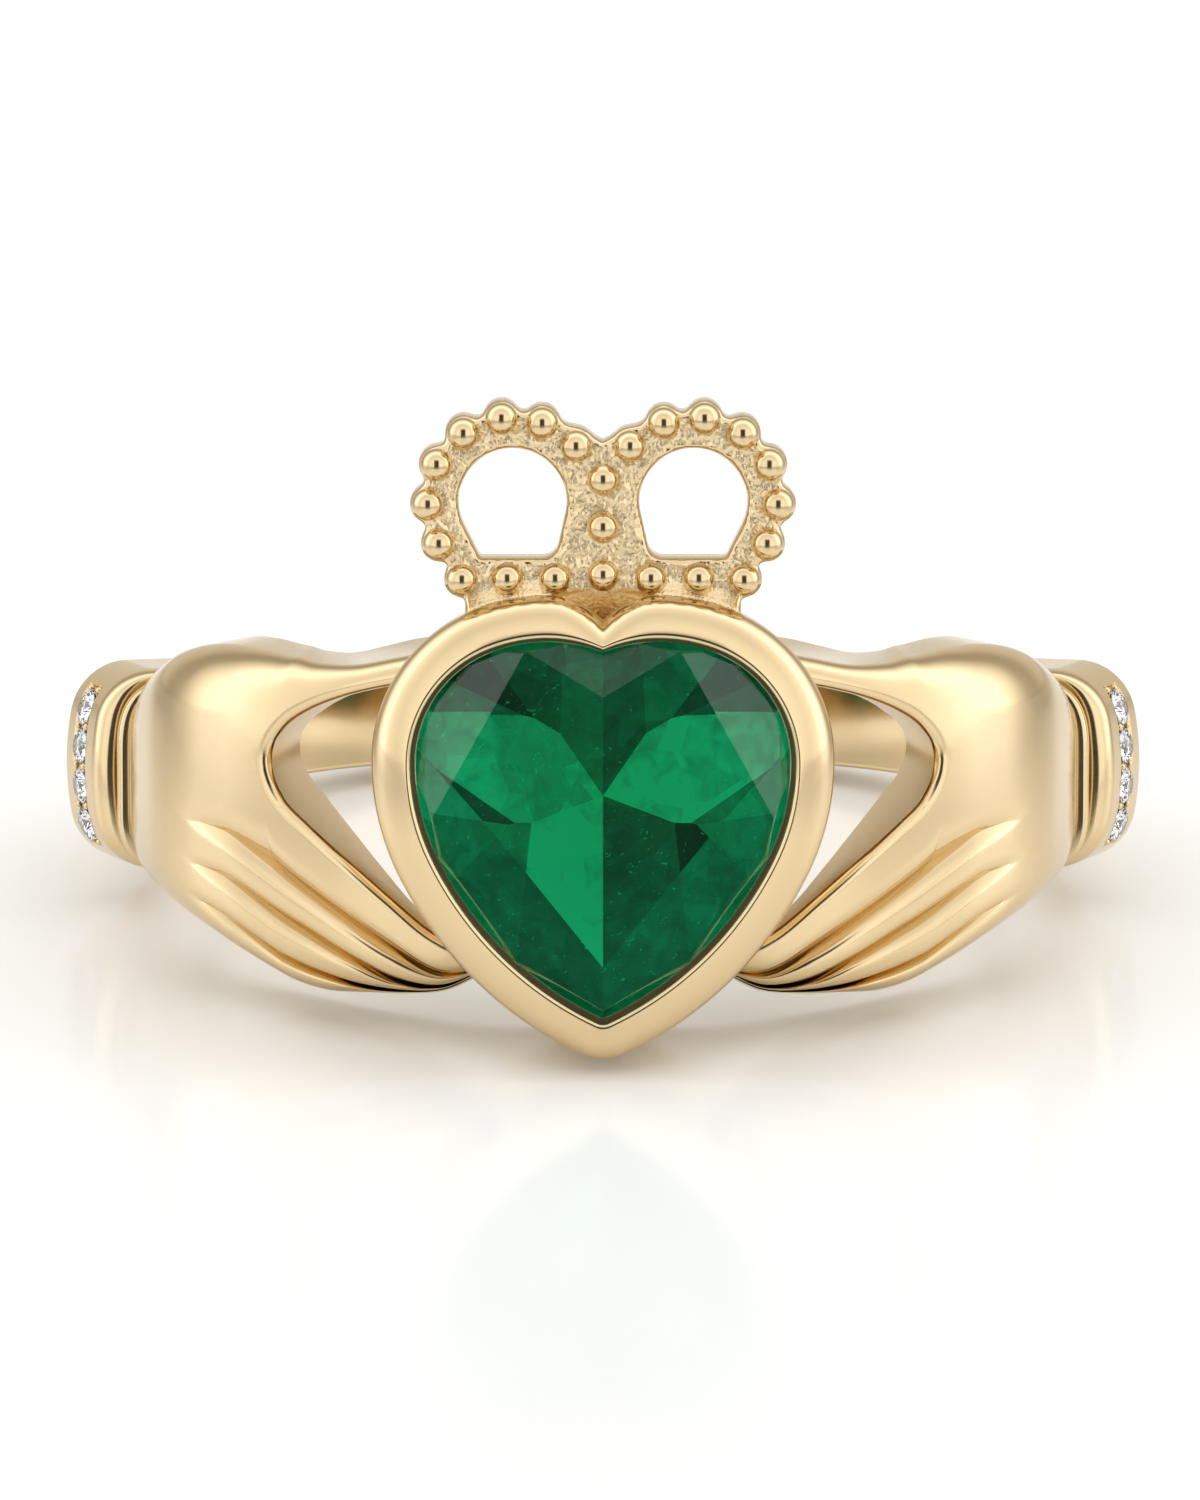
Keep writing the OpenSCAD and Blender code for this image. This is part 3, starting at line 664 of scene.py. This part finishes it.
SHOULDER_C = np.array([WINDOW_HALF_W - SHOULDER_R, WINDOW_Z])
LOBE_C = on_arc(SHOULDER_C, SHOULDER_R - LOBE_R, SHOULDER_SWEEP)
CHEEK_C = np.array([WINDOW_HALF_W - CHEEK_R, WINDOW_Z])
FLANK_C = on_arc(CHEEK_C, CHEEK_R - FLANK_R, -CHEEK_SWEEP)


def heart(grow, detail=10):
    """The window's outline of arcs, grown outwards: clockwise (x, z) from the notch at its top."""
    point_r = max(TIP_R + grow, 0.05)
    point_c = np.array([0, FLANK_C[1] - math.sqrt((FLANK_R + grow - point_r) ** 2 - FLANK_C[0] ** 2)])
    lobe_end = math.acos(-LOBE_C[0] / (LOBE_R + grow))
    flank_end = -math.acos(-FLANK_C[0] / (FLANK_R + grow - point_r))

    def arc(c, r, start, end, steps):
        turn = np.linspace(start, end, steps * detail + 1)[:-1]
        return on_arc(c, point_r if c is point_c else r + grow, turn)

    lobe = arc(LOBE_C, LOBE_R, lobe_end, SHOULDER_SWEEP, 3)
    lobe[:, 1] -= NOTCH_DIP * max(grow, 0) / RIM_W * np.clip(1 - lobe[:, 0] / NOTCH_REACH, 0, 1) ** 2
    right = np.concatenate([
        lobe,
        arc(SHOULDER_C, SHOULDER_R, SHOULDER_SWEEP, 0, 5),
        arc(CHEEK_C, CHEEK_R, 0, -CHEEK_SWEEP, 3),
        arc(FLANK_C, FLANK_R, -CHEEK_SWEEP, flank_end, 4),
        arc(point_c, 0, flank_end, -math.pi / 2, 2),
        [[0, point_c[1] - point_r]]])
    right[0, 0] = 0
    return np.concatenate([right, right[-2:0:-1] * (-1, 1)])


def rim_profile(steps=24):
    """The rim's rolled top as (growth, distance in front of the hole's middle), from outside to the ledge."""
    edge_c = np.array([LEDGE_W + RIM_EDGE_R, RIM_Y - RIM_EDGE_R])
    meet = edge_c + RIM_EDGE_R * np.array([math.cos(RIM_FACING), math.sin(RIM_FACING)])
    start = np.array([RIM_W, RIM_Y - RIM_ROLL])
    corner = np.array([RIM_W, meet[1] - (RIM_W - meet[0]) / math.tan(RIM_FACING)])
    t = np.linspace(0, 1, steps)[:, None]
    slope = (1 - t) ** 2 * start + 2 * t * (1 - t) * corner + t * t * meet
    turn = np.linspace(RIM_FACING, math.pi, 10)[1:]
    edge = edge_c + RIM_EDGE_R * np.stack([np.cos(turn), np.sin(turn)], -1)
    return [tuple(p) for p in np.concatenate([slope, edge])]


ON_HOLE = None
bezel_rows = [(RIM_W - (RIM_Y - BORE_R) * WALL_SLOPE, ON_HOLE)]
bezel_rows += [(RIM_W - (RIM_Y - y) * WALL_SLOPE, y)
               for y in np.linspace(BORE_R + 0.6, RIM_Y - RIM_ROLL - 0.05, 8)]
bezel_rows += rim_profile()
bezel_rows += [(LEDGE_W, RIM_Y - LEDGE_DROP), (LEDGE_EDGE, RIM_Y - LEDGE_DROP),
               (0, RIM_Y - LEDGE_DROP - LEDGE_EDGE), (0, GIRDLE_Y + UNDER_LIP),
               (SEAT_IN, GIRDLE_Y + UNDER_LIP / 2), (SEAT_IN, GIRDLE_Y - UNDER_LIP),
               (CAVITY_IN, GIRDLE_Y - CAVITY_DROP), (CAVITY_IN, ON_HOLE)]


def bezel_ring(grow, y):
    edge = heart(grow)
    depth = np.sqrt(BORE_R ** 2 - edge[:, 0] ** 2) if y is ON_HOLE else np.full(len(edge), y)
    return np.stack([edge[:, 0], -depth, edge[:, 1]], -1)


bezel = np.array([bezel_ring(*row) for row in bezel_rows])
gold_piece("heart_bezel", bezel.reshape(-1, 3), ring_faces(*bezel.shape[:2], closed_rows=True), 30)


# The crown is a pierced plate that stands on the bezel, with two openings and a scalloped edge. Its ground
# keeps the fine grain of the cast metal, and a row of polished beads follows each loop, the middle and the
# foot. It is cast in one with the bezel.
CROWN_BACK = 1.0
CROWN_T = 1.0
CROWN_EDGE = 0.13
OPEN_R = 1.04
OPEN_FLOOR = 1.08
OPEN_CORNER = 0.56
OUTER_CORNER_R = 0.1
INNER_CORNER_R = 0.33
LOOP_R = 1.63
LOOP_C = np.array([1.74, 6.26])
LOOP_EDGE = 0.1
FIRST_BEAD = 138.5
BEAD_STEP = 28
LOOP_BEADS = 8
LAST_BEAD_SHIFT = (0.1, -0.12)
FOOT_BEAD_PITCH = 0.53 * LOOP_C[0]
FOOT_BEADS_DOWN = 0.07
BEAD_R = 0.315
SCALLOP_R = 0.345
ROW_Z = LOOP_C[1] - 0.86 * LOOP_R
COLUMN_PITCH = 0.565 * LOOP_R
COLUMN_TOP = ROW_Z + 2 * COLUMN_PITCH
PLATE_HALF_W = 1.525 * LOOP_C[0]
LOOP_FOOT_H = 0.5
NOTCH_HALF_W = 1.05
NOTCH_ABOVE = 0.72
NOTCH_SLOPE = 0.45
FILLET = 0.05
FOOT_FILLET = 0.3
# A web sinks behind the heart's notch, deepest at the bottom
WEB_DEPTH = 0.5
WEB_HALF_W = 1.15
WEB_TOP = 4.72
WEB_RUN = 0.85
GRAIN_MM = 0.16
GRAIN_RELIEF = 0.045
CROWN_CELL = 0.03
GRID_HALF_W = 3.9
GRID_LOW = 3.3
GRID_TOP = 8.5
bead_angles = np.radians(FIRST_BEAD - BEAD_STEP * np.arange(LOOP_BEADS))
loop_beads = [LOOP_C + LOOP_R * np.array([math.cos(a), math.sin(a)]) for a in bead_angles]
loop_beads[-1] = loop_beads[-1] + LAST_BEAD_SHIFT
half_beads = loop_beads + [np.array([FOOT_BEAD_PITCH * k, ROW_Z - FOOT_BEADS_DOWN]) for k in (1, 2)]
column_beads = [(0, ROW_Z + COLUMN_PITCH * k) for k in range(3)]
BEADS = np.array(half_beads + [b * (-1, 1) for b in half_beads] + column_beads)


def blended(distances, radius):
    """The nearest of several distances, with a fillet of about that radius where two are equal."""
    d = np.stack(distances)
    low = d.min(0)
    return low - radius * np.log(np.exp(-(d - low) / radius).sum(0))


def in_box(x, z, x0, x1, z0, z1):
    dx, dz = np.maximum(x0 - x, x - x1), np.maximum(z0 - z, z - z1)
    return np.minimum(np.maximum(dx, dz), 0) + np.hypot(np.maximum(dx, 0), np.maximum(dz, 0))


def tapered(p, corner, corner_r):
    """Distance outside an opening's circle run together with the round corner at an end of its floor."""
    h = math.hypot(*corner)
    way = corner / h
    along, across = p @ way, np.abs(p[..., 0] * way[1] - p[..., 1] * way[0])
    b = (OPEN_R - corner_r) / h
    a = math.sqrt(1 - b * b)
    k = a * along - b * across
    side = a * across + b * along - OPEN_R
    return np.where(k < 0, np.hypot(across, along) - OPEN_R,
                    np.where(k > a * h, np.hypot(across, along - h) - corner_r, side))


def crown_distance(p):
    """Distance of points (x, z) outside the crown's plate, negative within it."""
    x, z = np.abs(p[..., 0]), p[..., 1]
    solid = [np.hypot(p[..., 0] - bx, z - bz) - SCALLOP_R for bx, bz in BEADS]
    solid += [np.hypot(x - LOOP_C[0], z - LOOP_C[1]) - LOOP_R - LOOP_EDGE,
              in_box(x, z, -1, PLATE_HALF_W, WINDOW_Z + SHOULDER_R, ROW_Z),
              in_box(x, z, -1, LOOP_C[0], ROW_Z, ROW_Z + LOOP_FOOT_H),
              in_box(x, z, -1, SCALLOP_R, ROW_Z, COLUMN_TOP),
              np.maximum(x - NOTCH_HALF_W, z - COLUMN_TOP - NOTCH_ABOVE - NOTCH_SLOPE * x)]
    hole = np.hypot(x - LOOP_C[0], z - LOOP_C[1]) - OPEN_R
    floor_corners = [tapered(np.stack([side * (x - LOOP_C[0]), z - LOOP_C[1]], -1),
                             np.array([OPEN_CORNER, corner_r - OPEN_FLOOR]), corner_r)
                     for side, corner_r in ((-1, INNER_CORNER_R), (1, OUTER_CORNER_R))]
    left, right = LOOP_C[0] - OPEN_CORNER, LOOP_C[0] + OPEN_CORNER
    opening = in_box(x, z, left, right, LOOP_C[1] - OPEN_FLOOR, LOOP_C[1])
    hole = np.minimum(np.minimum(hole, opening), np.minimum(*floor_corners))
    return -blended([-blended(solid, FILLET), hole], 0.01)


def towards_edge(p):
    """Which way the distance to the crown's plate grows."""
    step = 1e-3
    dx = crown_distance(p + (step, 0)) - crown_distance(p - (step, 0))
    dz = crown_distance(p + (0, step)) - crown_distance(p - (0, step))
    g = np.stack([dx, dz], -1)
    return g / np.maximum(np.linalg.norm(g, axis=-1, keepdims=True), 1e-9)


def cast_grain(x, z):
    """The uneven relief of the cast ground, from a coarser and a finer grain."""
    coarse = noise.noise(Vector((x, z, 0)) / GRAIN_MM)
    fine = noise.noise(Vector((x, z, 9)) / (GRAIN_MM / 2))
    return coarse + 0.6 * fine


# The plate's face is a grid of cells that lie inside its outline, with the outermost points drawn onto it
columns = round(2 * GRID_HALF_W / CROWN_CELL)
rows = round((GRID_TOP - GRID_LOW) / CROWN_CELL)
grid = np.stack(np.meshgrid(np.linspace(-GRID_HALF_W, GRID_HALF_W, columns + 1),
                            np.linspace(GRID_LOW, GRID_TOP, rows + 1)), -1)
middles = (grid[:-1, :-1] + grid[1:, 1:]) / 2
inside = crown_distance(middles) < 0
cell_row, cell_column = np.nonzero(inside)
corner = cell_row * (columns + 1) + cell_column
cells = np.stack([corner, corner + 1, corner + columns + 2, corner + columns + 1], -1)
used, cells = np.unique(cells, return_inverse=True)
cells = cells.reshape(-1, 4)
flat = grid.reshape(-1, 2)[used]
sides = np.concatenate([cells[:, [k, (k + 1) % 4]] for k in range(4)])
key = np.sort(sides, 1)
_, first, count = np.unique(key, axis=0, return_index=True, return_counts=True)
rim_sides = sides[first[count == 1]]
on_rim = np.unique(rim_sides)
for _ in range(4):
    flat[on_rim] -= crown_distance(flat[on_rim])[:, None] * towards_edge(flat[on_rim])

depth_in = -crown_distance(flat)
heart_edge = heart(RIM_W)
to_heart = np.array([np.hypot(*(heart_edge - p).T).min() for p in flat])
grain = np.array([cast_grain(x, z) for x, z in flat])
foot = 0.8 * FOOT_FILLET * (1 - np.clip(to_heart / (1.3 * FOOT_FILLET), 0, 1)) ** 2
rough_there = np.clip(to_heart / FOOT_FILLET - 0.6, 0, 1) * np.clip(depth_in / CROWN_EDGE, 0.2, 1)
ground = GRAIN_RELIEF * grain * rough_there
web = WEB_DEPTH * np.clip(1 - (flat[:, 0] / WEB_HALF_W) ** 2, 0, 1)
web *= np.clip((WEB_TOP - flat[:, 1]) / WEB_RUN, 0, 1) ** 1.5
beside_web = np.clip(1 - web / 0.05, 0, 1)
crown_face = RIM_Y - CROWN_BACK + foot * beside_web + ground - web - edge_drop(depth_in, CROWN_EDGE)
crown_rear = RIM_Y - CROWN_BACK - CROWN_T + edge_drop(depth_in, CROWN_EDGE)
front = np.stack([flat[:, 0], -crown_face, flat[:, 1]], -1)
rear = np.stack([flat[:, 0], -crown_rear, flat[:, 1]], -1)
count = len(flat)
plate_faces = cells.tolist() + (cells[:, ::-1] + count).tolist()
plate_faces += [[a, b, b + count, a + count] for a, b in rim_sides.tolist()]
crown = gold_piece("crown", np.concatenate([front, rear]), plate_faces, 60)
# The crown's sunk ground is left as it was cast, which breaks its reflections up more than a polished face
PIT_MM = 0.07
PIT_RELIEF_MM = 0.026
cast_gold = gold_finish("as_cast_14k_yellow_gold", "#efd8ad", PIT_MM, 2.0, (0.24, 0.38), PIT_RELIEF_MM)
crown.data.materials.append(cast_gold)
for n, face in enumerate(crown.data.polygons):
    face.material_index = int(n < len(cells) and depth_in[cells[n]].min() > 0.6 * CROWN_EDGE)
crown_beads = together([ball((x, -(RIM_Y - CROWN_BACK), z), BEAD_R, 18, 28) for x, z in BEADS])
gold_piece("crown_beads", *crown_beads, 80)


# The heart stone is an emerald, cut and polished with a large table, facets that slope to the girdle, and
# a pavilion whose main facets meet under the middle. Chromium makes it deep green, darker the further the
# light goes.
EMERALD_GROW = LIP_COVER - 0.1
GIRDLE_T = 0.1
TABLE_H = 0.36
PAVILION_H = 2.55
CULET = Vector((0, 0.45, -GIRDLE_T - PAVILION_H))
CROWN_SLOPE = math.radians(36)
# Slope and azimuths in degrees, and how far above the girdle: on the cheeks, then steep ones round the rest,
# then the flat ones that frame the table on each lobe and under the notch
CROWN_FACETS = ((36, (38, 12), 0), (58, (112, 84, 62, -14, -36, -60), 0),
                (14, (29,), 0.12), (16, (121,), 0.23))
CUT_STONE = {"Base Color": (1, 1, 1, 1), "Roughness": 0.0, "Transmission Weight": 1.0}
emerald_glass = new_material("cut_emerald", {**CUT_STONE, "IOR": 1.58})
# Red dies first on the way through, then blue: the density is per metre
depth_of_green = add_node(emerald_glass, "ShaderNodeVolumeAbsorption",
                          {"Color": (0, 0.88, 0.6, 1), "Density": 120})
set_up(emerald_glass, "Material Output", {"Volume": depth_of_green.outputs["Volume"]})

# The light that the pavilion throws back towards the table is painted: each facet shows a painted green tone
# of its own, and in it painted, broken reflections of other facets, with the clouds and the small feathers
# that every emerald has
CLOUD_MM = 0.5
FEATHER_MM = CLOUD_MM / 3
PAINTED_REFLECTION_MM = 1.0
pavilion = new_material("emerald_pavilion_painted_light", {"Metallic": 0.1, "Roughness": 0.25})
# Painted light: each facet's own tone of green, read from a face attribute
tone = add_node(pavilion, "ShaderNodeAttribute", {"attribute_name": "painted_facet_light"}).outputs["Fac"]
# Painted reflections of other facets, in cells about a millimetre across
painted_reflection_cells = add_node(pavilion, "ShaderNodeTexVoronoi",
                  {"Scale": 1 / (PAINTED_REFLECTION_MM * MM), "Vector": place_on_piece(pavilion)})
painted_reflection = add_node(pavilion, "ShaderNodeSeparateXYZ", {"Vector": painted_reflection_cells.outputs["Color"]}).outputs["X"]
tone = maths(pavilion, "MULTIPLY", tone, mapped(pavilion, painted_reflection, 0, 1, 0.85, 1.25))
clouds = mapped(pavilion, grains_of(pavilion, CLOUD_MM, 4.0, 0.8), 0.3, 0.7, 0.7, 1.15)
feathers = mapped(pavilion, grains_of(pavilion, FEATHER_MM, 1.0, 2.5), 0.7, 0.76, 0.0, 0.6)
shown = maths(pavilion, "MULTIPLY_ADD", tone, clouds, feathers)
# The painted light runs from a dark to a bright green
shade(pavilion, {"Base Color": ramp(pavilion, shown, ((0, linear("#002a12")), (1, linear("#1fffb6"))))})

# Main facets: azimuth, then the painted light tone on the left and on the right. Break facets lie between
# them, a little steeper: azimuth, how much steeper, and the painted light tones
MAIN_FACETS = ((115, 0.28, 0.18), (14, 0.78, 1.02), (-57, 1.2, 0.2))
BREAK_FACETS = ((78, 1.2, 0.16, 0.3), (52, 1.23, 0.05, 0.1), (33, 1.15, 0.26, 0.2), (-4, 1.15, 0.12, 0.36),
                (-22, 1.25, 0.45, 0.45), (-40, 1.15, 0.4, 0.05), (-72, 1.2, 0.36, 0.34),
                (-85, 1.4, 0.55, 0.6))
# The painted light tone of the girdle
GIRDLE_PAINTED_LIGHT = 0.4
# Past this line the lower facets show a painted reflection of the table's edge: its two ends, the painted
# tones on the left and on the right, and how much and how fast they swing from facet to facet
PAINTED_REFLECTION_EDGE = ((2.0, -0.32), (0.06, -2.68))
PAINTED_REFLECTION_TONES = (0.38, 0.45)
PAINTED_REFLECTION_SWING = 0.18
PAINTED_REFLECTION_TURNS = 9


def sloped(azimuth, slope, upwards):
    """The way a facet of that slope faces, up or down."""
    level = math.sin(slope)
    return Vector((math.cos(azimuth) * level, math.sin(azimuth) * level, upwards * math.cos(slope)))


def cut_facet(bm, point, normal):
    """Grinds away what lies beyond a plane, and closes the stone with the new facet."""
    geom = bm.verts[:] + bm.edges[:] + bm.faces[:]
    cut = bmesh.ops.bisect_plane(bm, geom=geom, plane_co=point, plane_no=normal, dist=1e-5, clear_outer=True)
    edges = [e for e in cut["geom_cut"] if isinstance(e, bmesh.types.BMEdge) and len(e.link_faces) == 1]
    if edges:
        bmesh.ops.edgeloop_fill(bm, edges=edges)


def half_stone():
    """The right half of the stone, drawn with its table towards +Z and ground facet by facet."""
    edge = heart(EMERALD_GROW, 4)
    right = edge[:len(edge) // 2 + 1]
    bm = bmesh.new()
    low = [bm.verts.new((x, z, CULET.z - 0.5)) for x, z in right]
    high = [bm.verts.new((x, z, TABLE_H)) for x, z in right]
    bm.faces.new(low)
    bm.faces.new(high[::-1])
    for i in range(len(right)):
        k = (i + 1) % len(right)
        bm.faces.new((low[k], low[i], high[i], high[k]))
    bmesh.ops.recalc_face_normals(bm, faces=bm.faces)

    def touch(azimuth, height):
        """Where the outline meets a facet: at the notch if the facet faces the middle."""
        way = np.array([math.cos(azimuth), math.sin(azimuth)])
        p = right[np.argmax(right @ way)] if azimuth < math.pi / 2 else right[0]
        return Vector((*p, height))

    for degrees, *_ in MAIN_FACETS:
        azimuth = math.radians(degrees)
        start = touch(azimuth, -GIRDLE_T)
        normal = Vector((-math.sin(azimuth), math.cos(azimuth), 0)).cross(CULET - start)
        cut_facet(bm, start, normal if normal.z < 0 else -normal)
    for degrees, steeper, *_ in BREAK_FACETS:
        azimuth = math.radians(degrees)
        point = touch(azimuth, -GIRDLE_T)
        reach = (point - CULET) @ Vector((math.cos(azimuth), math.sin(azimuth), 0))
        cut_facet(bm, point, sloped(azimuth, math.atan(steeper * PAVILION_H / reach), -1))
    for slope, directions, lift in CROWN_FACETS:
        for degrees in directions:
            azimuth = math.radians(degrees)
            inwards = Vector((math.cos(azimuth), math.sin(azimuth), 0)) * lift / math.tan(CROWN_SLOPE)
            cut_facet(bm, touch(azimuth, lift) - inwards, sloped(azimuth, math.radians(slope), 1))
    return bm


bm = half_stone()
middle_faces = [f for f in bm.faces if all(abs(v.co.x) < 1e-4 for v in f.verts)]
bmesh.ops.delete(bm, geom=middle_faces, context="FACES_ONLY")
bmesh.ops.mirror(bm, geom=bm.verts[:] + bm.edges[:] + bm.faces[:], axis="X", merge_dist=1e-4)
bmesh.ops.dissolve_limit(bm, angle_limit=math.radians(0.5), verts=bm.verts[:], edges=bm.edges[:])
bmesh.ops.recalc_face_normals(bm, faces=bm.faces)
# The lower facets are split along the line where the painted reflection of the table's edge begins, so they
# look cut in two
(edge_x, edge_z), (end_x, end_z) = PAINTED_REFLECTION_EDGE
for side in (-1, 1):
    low_faces = [f for f in bm.faces if f.normal.z < -0.1 and f.calc_center_median().x * side > 0]
    geom = [part for parts in (bm.verts[:], bm.edges[:]) for part in parts
            if any(f in low_faces for f in part.link_faces)]
    bmesh.ops.bisect_plane(bm, geom=geom + low_faces, plane_co=(side * edge_x, edge_z, 0), dist=1e-5,
                           plane_no=(side * (edge_z - end_z), end_x - edge_x, 0))
bm.normal_update()
bm.verts.index_update()


def painted_facet_light(face):
    """None above the girdle, or the painted light tone of the pavilion facet that faces this way."""
    n = face.normal
    if n.z > 0.1:
        return None
    if n.z > -0.1:
        return GIRDLE_PAINTED_LIGHT
    middle = face.calc_center_median()
    left = middle.x < 0
    # Past the line the face gets the painted reflection's tone, which swings from facet to facet
    if (abs(middle.x) - edge_x) * (edge_z - end_z) + (middle.y - edge_z) * (end_x - edge_x) > 0:
        return PAINTED_REFLECTION_TONES[0 if left else 1] + PAINTED_REFLECTION_SWING * math.sin(PAINTED_REFLECTION_TURNS * middle.y)
    azimuth = math.degrees(math.atan2(n.y, -n.x if left else n.x))
    nearest = min(MAIN_FACETS + BREAK_FACETS, key=lambda facet: abs(facet[0] - azimuth))
    return nearest[-2] if left else nearest[-1]


# Each face below the girdle gets its painted light tone
tones = [painted_facet_light(f) for f in bm.faces]
stone_points = [(v.co.x, -GIRDLE_Y - v.co.z, v.co.y) for v in bm.verts]
stone_faces = [[v.index for v in f.verts] for f in bm.faces]
bm.free()
emerald = piece("heart_emerald_cut", stone_points, stone_faces, emerald_glass)
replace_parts(emerald, "heart_emerald")
emerald.data.materials.append(pavilion)
painted_facet_light_layer = emerald.data.attributes.new("painted_facet_light", "FLOAT", "FACE")
for face, tone in zip(emerald.data.polygons, tones):
    face.use_smooth = False
    face.material_index = int(tone is not None)
    painted_facet_light_layer.data[face.index].value = tone or 0


# The small stones are brilliant-cut diamonds, colourless and very bright, set with their tables a little
# above the crest of the cuff. Each has a table, eight stars and kites, paired facets above the girdle, and
# a cone of facets below it.
DIAMOND_R = 0.375
DIAMOND_TABLE = 0.56
DIAMOND_STAR = 0.8
DIAMOND_CROWN_H = 0.11
DIAMOND_STAR_H = 0.6 * DIAMOND_CROWN_H
DIAMOND_GIRDLE_T = 0.02
DIAMOND_PAVILION_H = 0.3
DIAMOND_LIFT = 0.02
DIAMOND_TURN = 0.35
diamond_glass = new_material("cut_diamond", {**CUT_STONE, "IOR": 2.417})


def brilliant(turn):
    """Points (along, across, height) and faces of a brilliant with its girdle at height 0."""
    def ring(share, height, count, start):
        a = np.radians(start) + turn + 2 * math.pi * np.arange(count) / count
        r = DIAMOND_R * share
        return np.stack([r * np.cos(a), r * np.sin(a), np.full(count, height)], -1)

    points = np.concatenate([ring(DIAMOND_TABLE, DIAMOND_CROWN_H, 8, 0),
                             ring(DIAMOND_STAR, DIAMOND_STAR_H, 8, 22.5),
                             ring(1, 0, 16, 0), ring(1, -DIAMOND_GIRDLE_T, 16, 0),
                             [[0, 0, -DIAMOND_PAVILION_H]]])
    star, girdle, under, culet = 8, 16, 32, 48
    faces = [list(range(8))]
    for i in range(8):
        k, before = (i + 1) % 8, (i - 1) % 8
        left, middle, right = 2 * i, 2 * i + 1, (2 * i + 2) % 16
        faces += [[i, star + i, k], [i, star + before, girdle + left, star + i],
                  [star + i, girdle + left, girdle + middle], [star + i, girdle + middle, girdle + right]]
        for g, h in ((left, middle), (middle, right)):
            faces += [[girdle + g, under + g, under + h, girdle + h], [under + g, culet, under + h]]
    return points, faces


for side, sign in SIDES.items():
    for n in range(1, STONES_EACH + 1):
        points, faces = brilliant(DIAMOND_TURN * n)
        points = np.array([on_crest(n, p[0], p[1], DIAMOND_LIFT + p[2]) for p in points])
        diamond = piece(f"{side}_brilliant_{n}", points * (sign, 1, 1), faces, diamond_glass)
        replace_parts(diamond, f"diamond_{side}_{n}")
        for face in diamond.data.polygons:
            face.use_smooth = False


# The ring lies on a sheet of white acrylic in a light tent. A pool of light is painted on the middle of the
# floor, and painted shade in front stands for the shade of the camera; the floor has a weak soft reflection.
# The tent's cloth is lit from outside.
FLOOR_HALF = 1.5
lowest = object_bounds()[0][2]
floor_mesh = bpy.data.meshes.new("floor")
floor_corners = [(x * FLOOR_HALF, y * FLOOR_HALF, lowest) for x, y in ((-1, -1), (1, -1), (1, 1), (-1, 1))]
floor_mesh.from_pydata(floor_corners, [], [(0, 1, 2, 3)])
floor = bpy.data.objects.new("floor", floor_mesh)
scene.collection.objects.link(floor)
acrylic = new_material("white_acrylic_with_painted_pool", {"Roughness": 0.16, "Specular IOR Level": 0.6})
split = add_node(acrylic, "ShaderNodeSeparateXYZ", {"Vector": place_on_piece(acrylic)}).outputs
aside = maths(acrylic, "ABSOLUTE", split["X"])
# How the painted pool of light ends at the sides, in front and behind: where from and to, and what is left of
# it
PAINTED_POOL_ENDS = ((aside, 0.016, 0.04, 0.5), (split["Y"], -0.038, -0.07, 0.35), (split["Y"], 0.08, 0.14, 0.6))
painted_pool_light = 1.0
for distance, start, end, left in PAINTED_POOL_ENDS:
    painted_pool_light = maths(acrylic, "MULTIPLY", painted_pool_light, mapped(acrylic, distance, start, end, 1.0, left))
# The floor's colour is painted darker away from its middle: a painted pool of light with painted shade round
# it
shade(acrylic, {"Base Color": ramp(acrylic, painted_pool_light, ((0, linear("#000000")), (1, linear("#fcfbf8"))))})
floor_mesh.materials.append(acrylic)

# The cloth is brightest beside and above the ring, dark at its seams further back, and shows the dark slit
# where the camera looks in. Brightness by the angle away from the camera, in degrees
TENT = ((0, 1.2), (40, 1.3), (58, 1.0), (72, 1.2), (83, 1.65), (94, 1.65), (106, 1.05), (118, 0.5),
        (128, 0.45), (142, 0.7), (180, 0.75))
# The dim cloth further back is a little warm, and the brightest a little cool
SEAM_WARMTH = 0.2
BRIGHT_COOLNESS = 0.12
tent = bpy.data.worlds.new("light_tent")
scene.world = tent
tent.use_nodes = True
around = add_node(tent, "ShaderNodeTexCoord", {}).outputs["Generated"]
facing = add_node(tent, "ShaderNodeVectorMath", {"operation": "DOT_PRODUCT", 0: around, 1: towards_camera})
away = maths(tent, "DIVIDE", maths(tent, "ARCCOSINE", facing.outputs["Value"]), math.pi)
stops = []
for degrees, value in TENT:
    tint = SEAM_WARMTH * progress(degrees, 110, 130) - BRIGHT_COOLNESS * (value > 1.6)
    # A ramp holds no more than 1, so it holds half the brightness, and the strength makes up for it
    red = value / 2
    stops.append((degrees / 180, (red, red * (1 - tint / 3), red * (1 - tint), 1)))
split = add_node(tent, "ShaderNodeSeparateXYZ", {"Vector": around}).outputs
beside = maths(tent, "ABSOLUTE", split["X"])
# Each factor's coordinate on the unit sphere, where from and to, and its values there. The slit is dark up to
# a width and a height, and the right, the roof and the walls are lit a little differently
SLIT = ((beside, 0.22, 0.34, 0.05, 1.0, "SMOOTHSTEP"), (split["Y"], -0.8, -0.55, 0.0, 1.0, "SMOOTHSTEP"))
CLOTH = ((split["X"], -1.0, 1.0, 2.05, 2.25), (split["Z"], 0.55, 0.95, 1.0, 0.98, "SMOOTHSTEP"),
         (beside, 0.45, 0.85, 1.0, 1.13, "SMOOTHSTEP"))
strength = maths(tent, "MAXIMUM", *[mapped(tent, *row) for row in SLIT])
for row in CLOTH:
    strength = maths(tent, "MULTIPLY", strength, mapped(tent, *row))
set_up(tent, "Background", {"Color": ramp(tent, away, stops), "Strength": strength})
scene.view_settings.view_transform = "Standard"
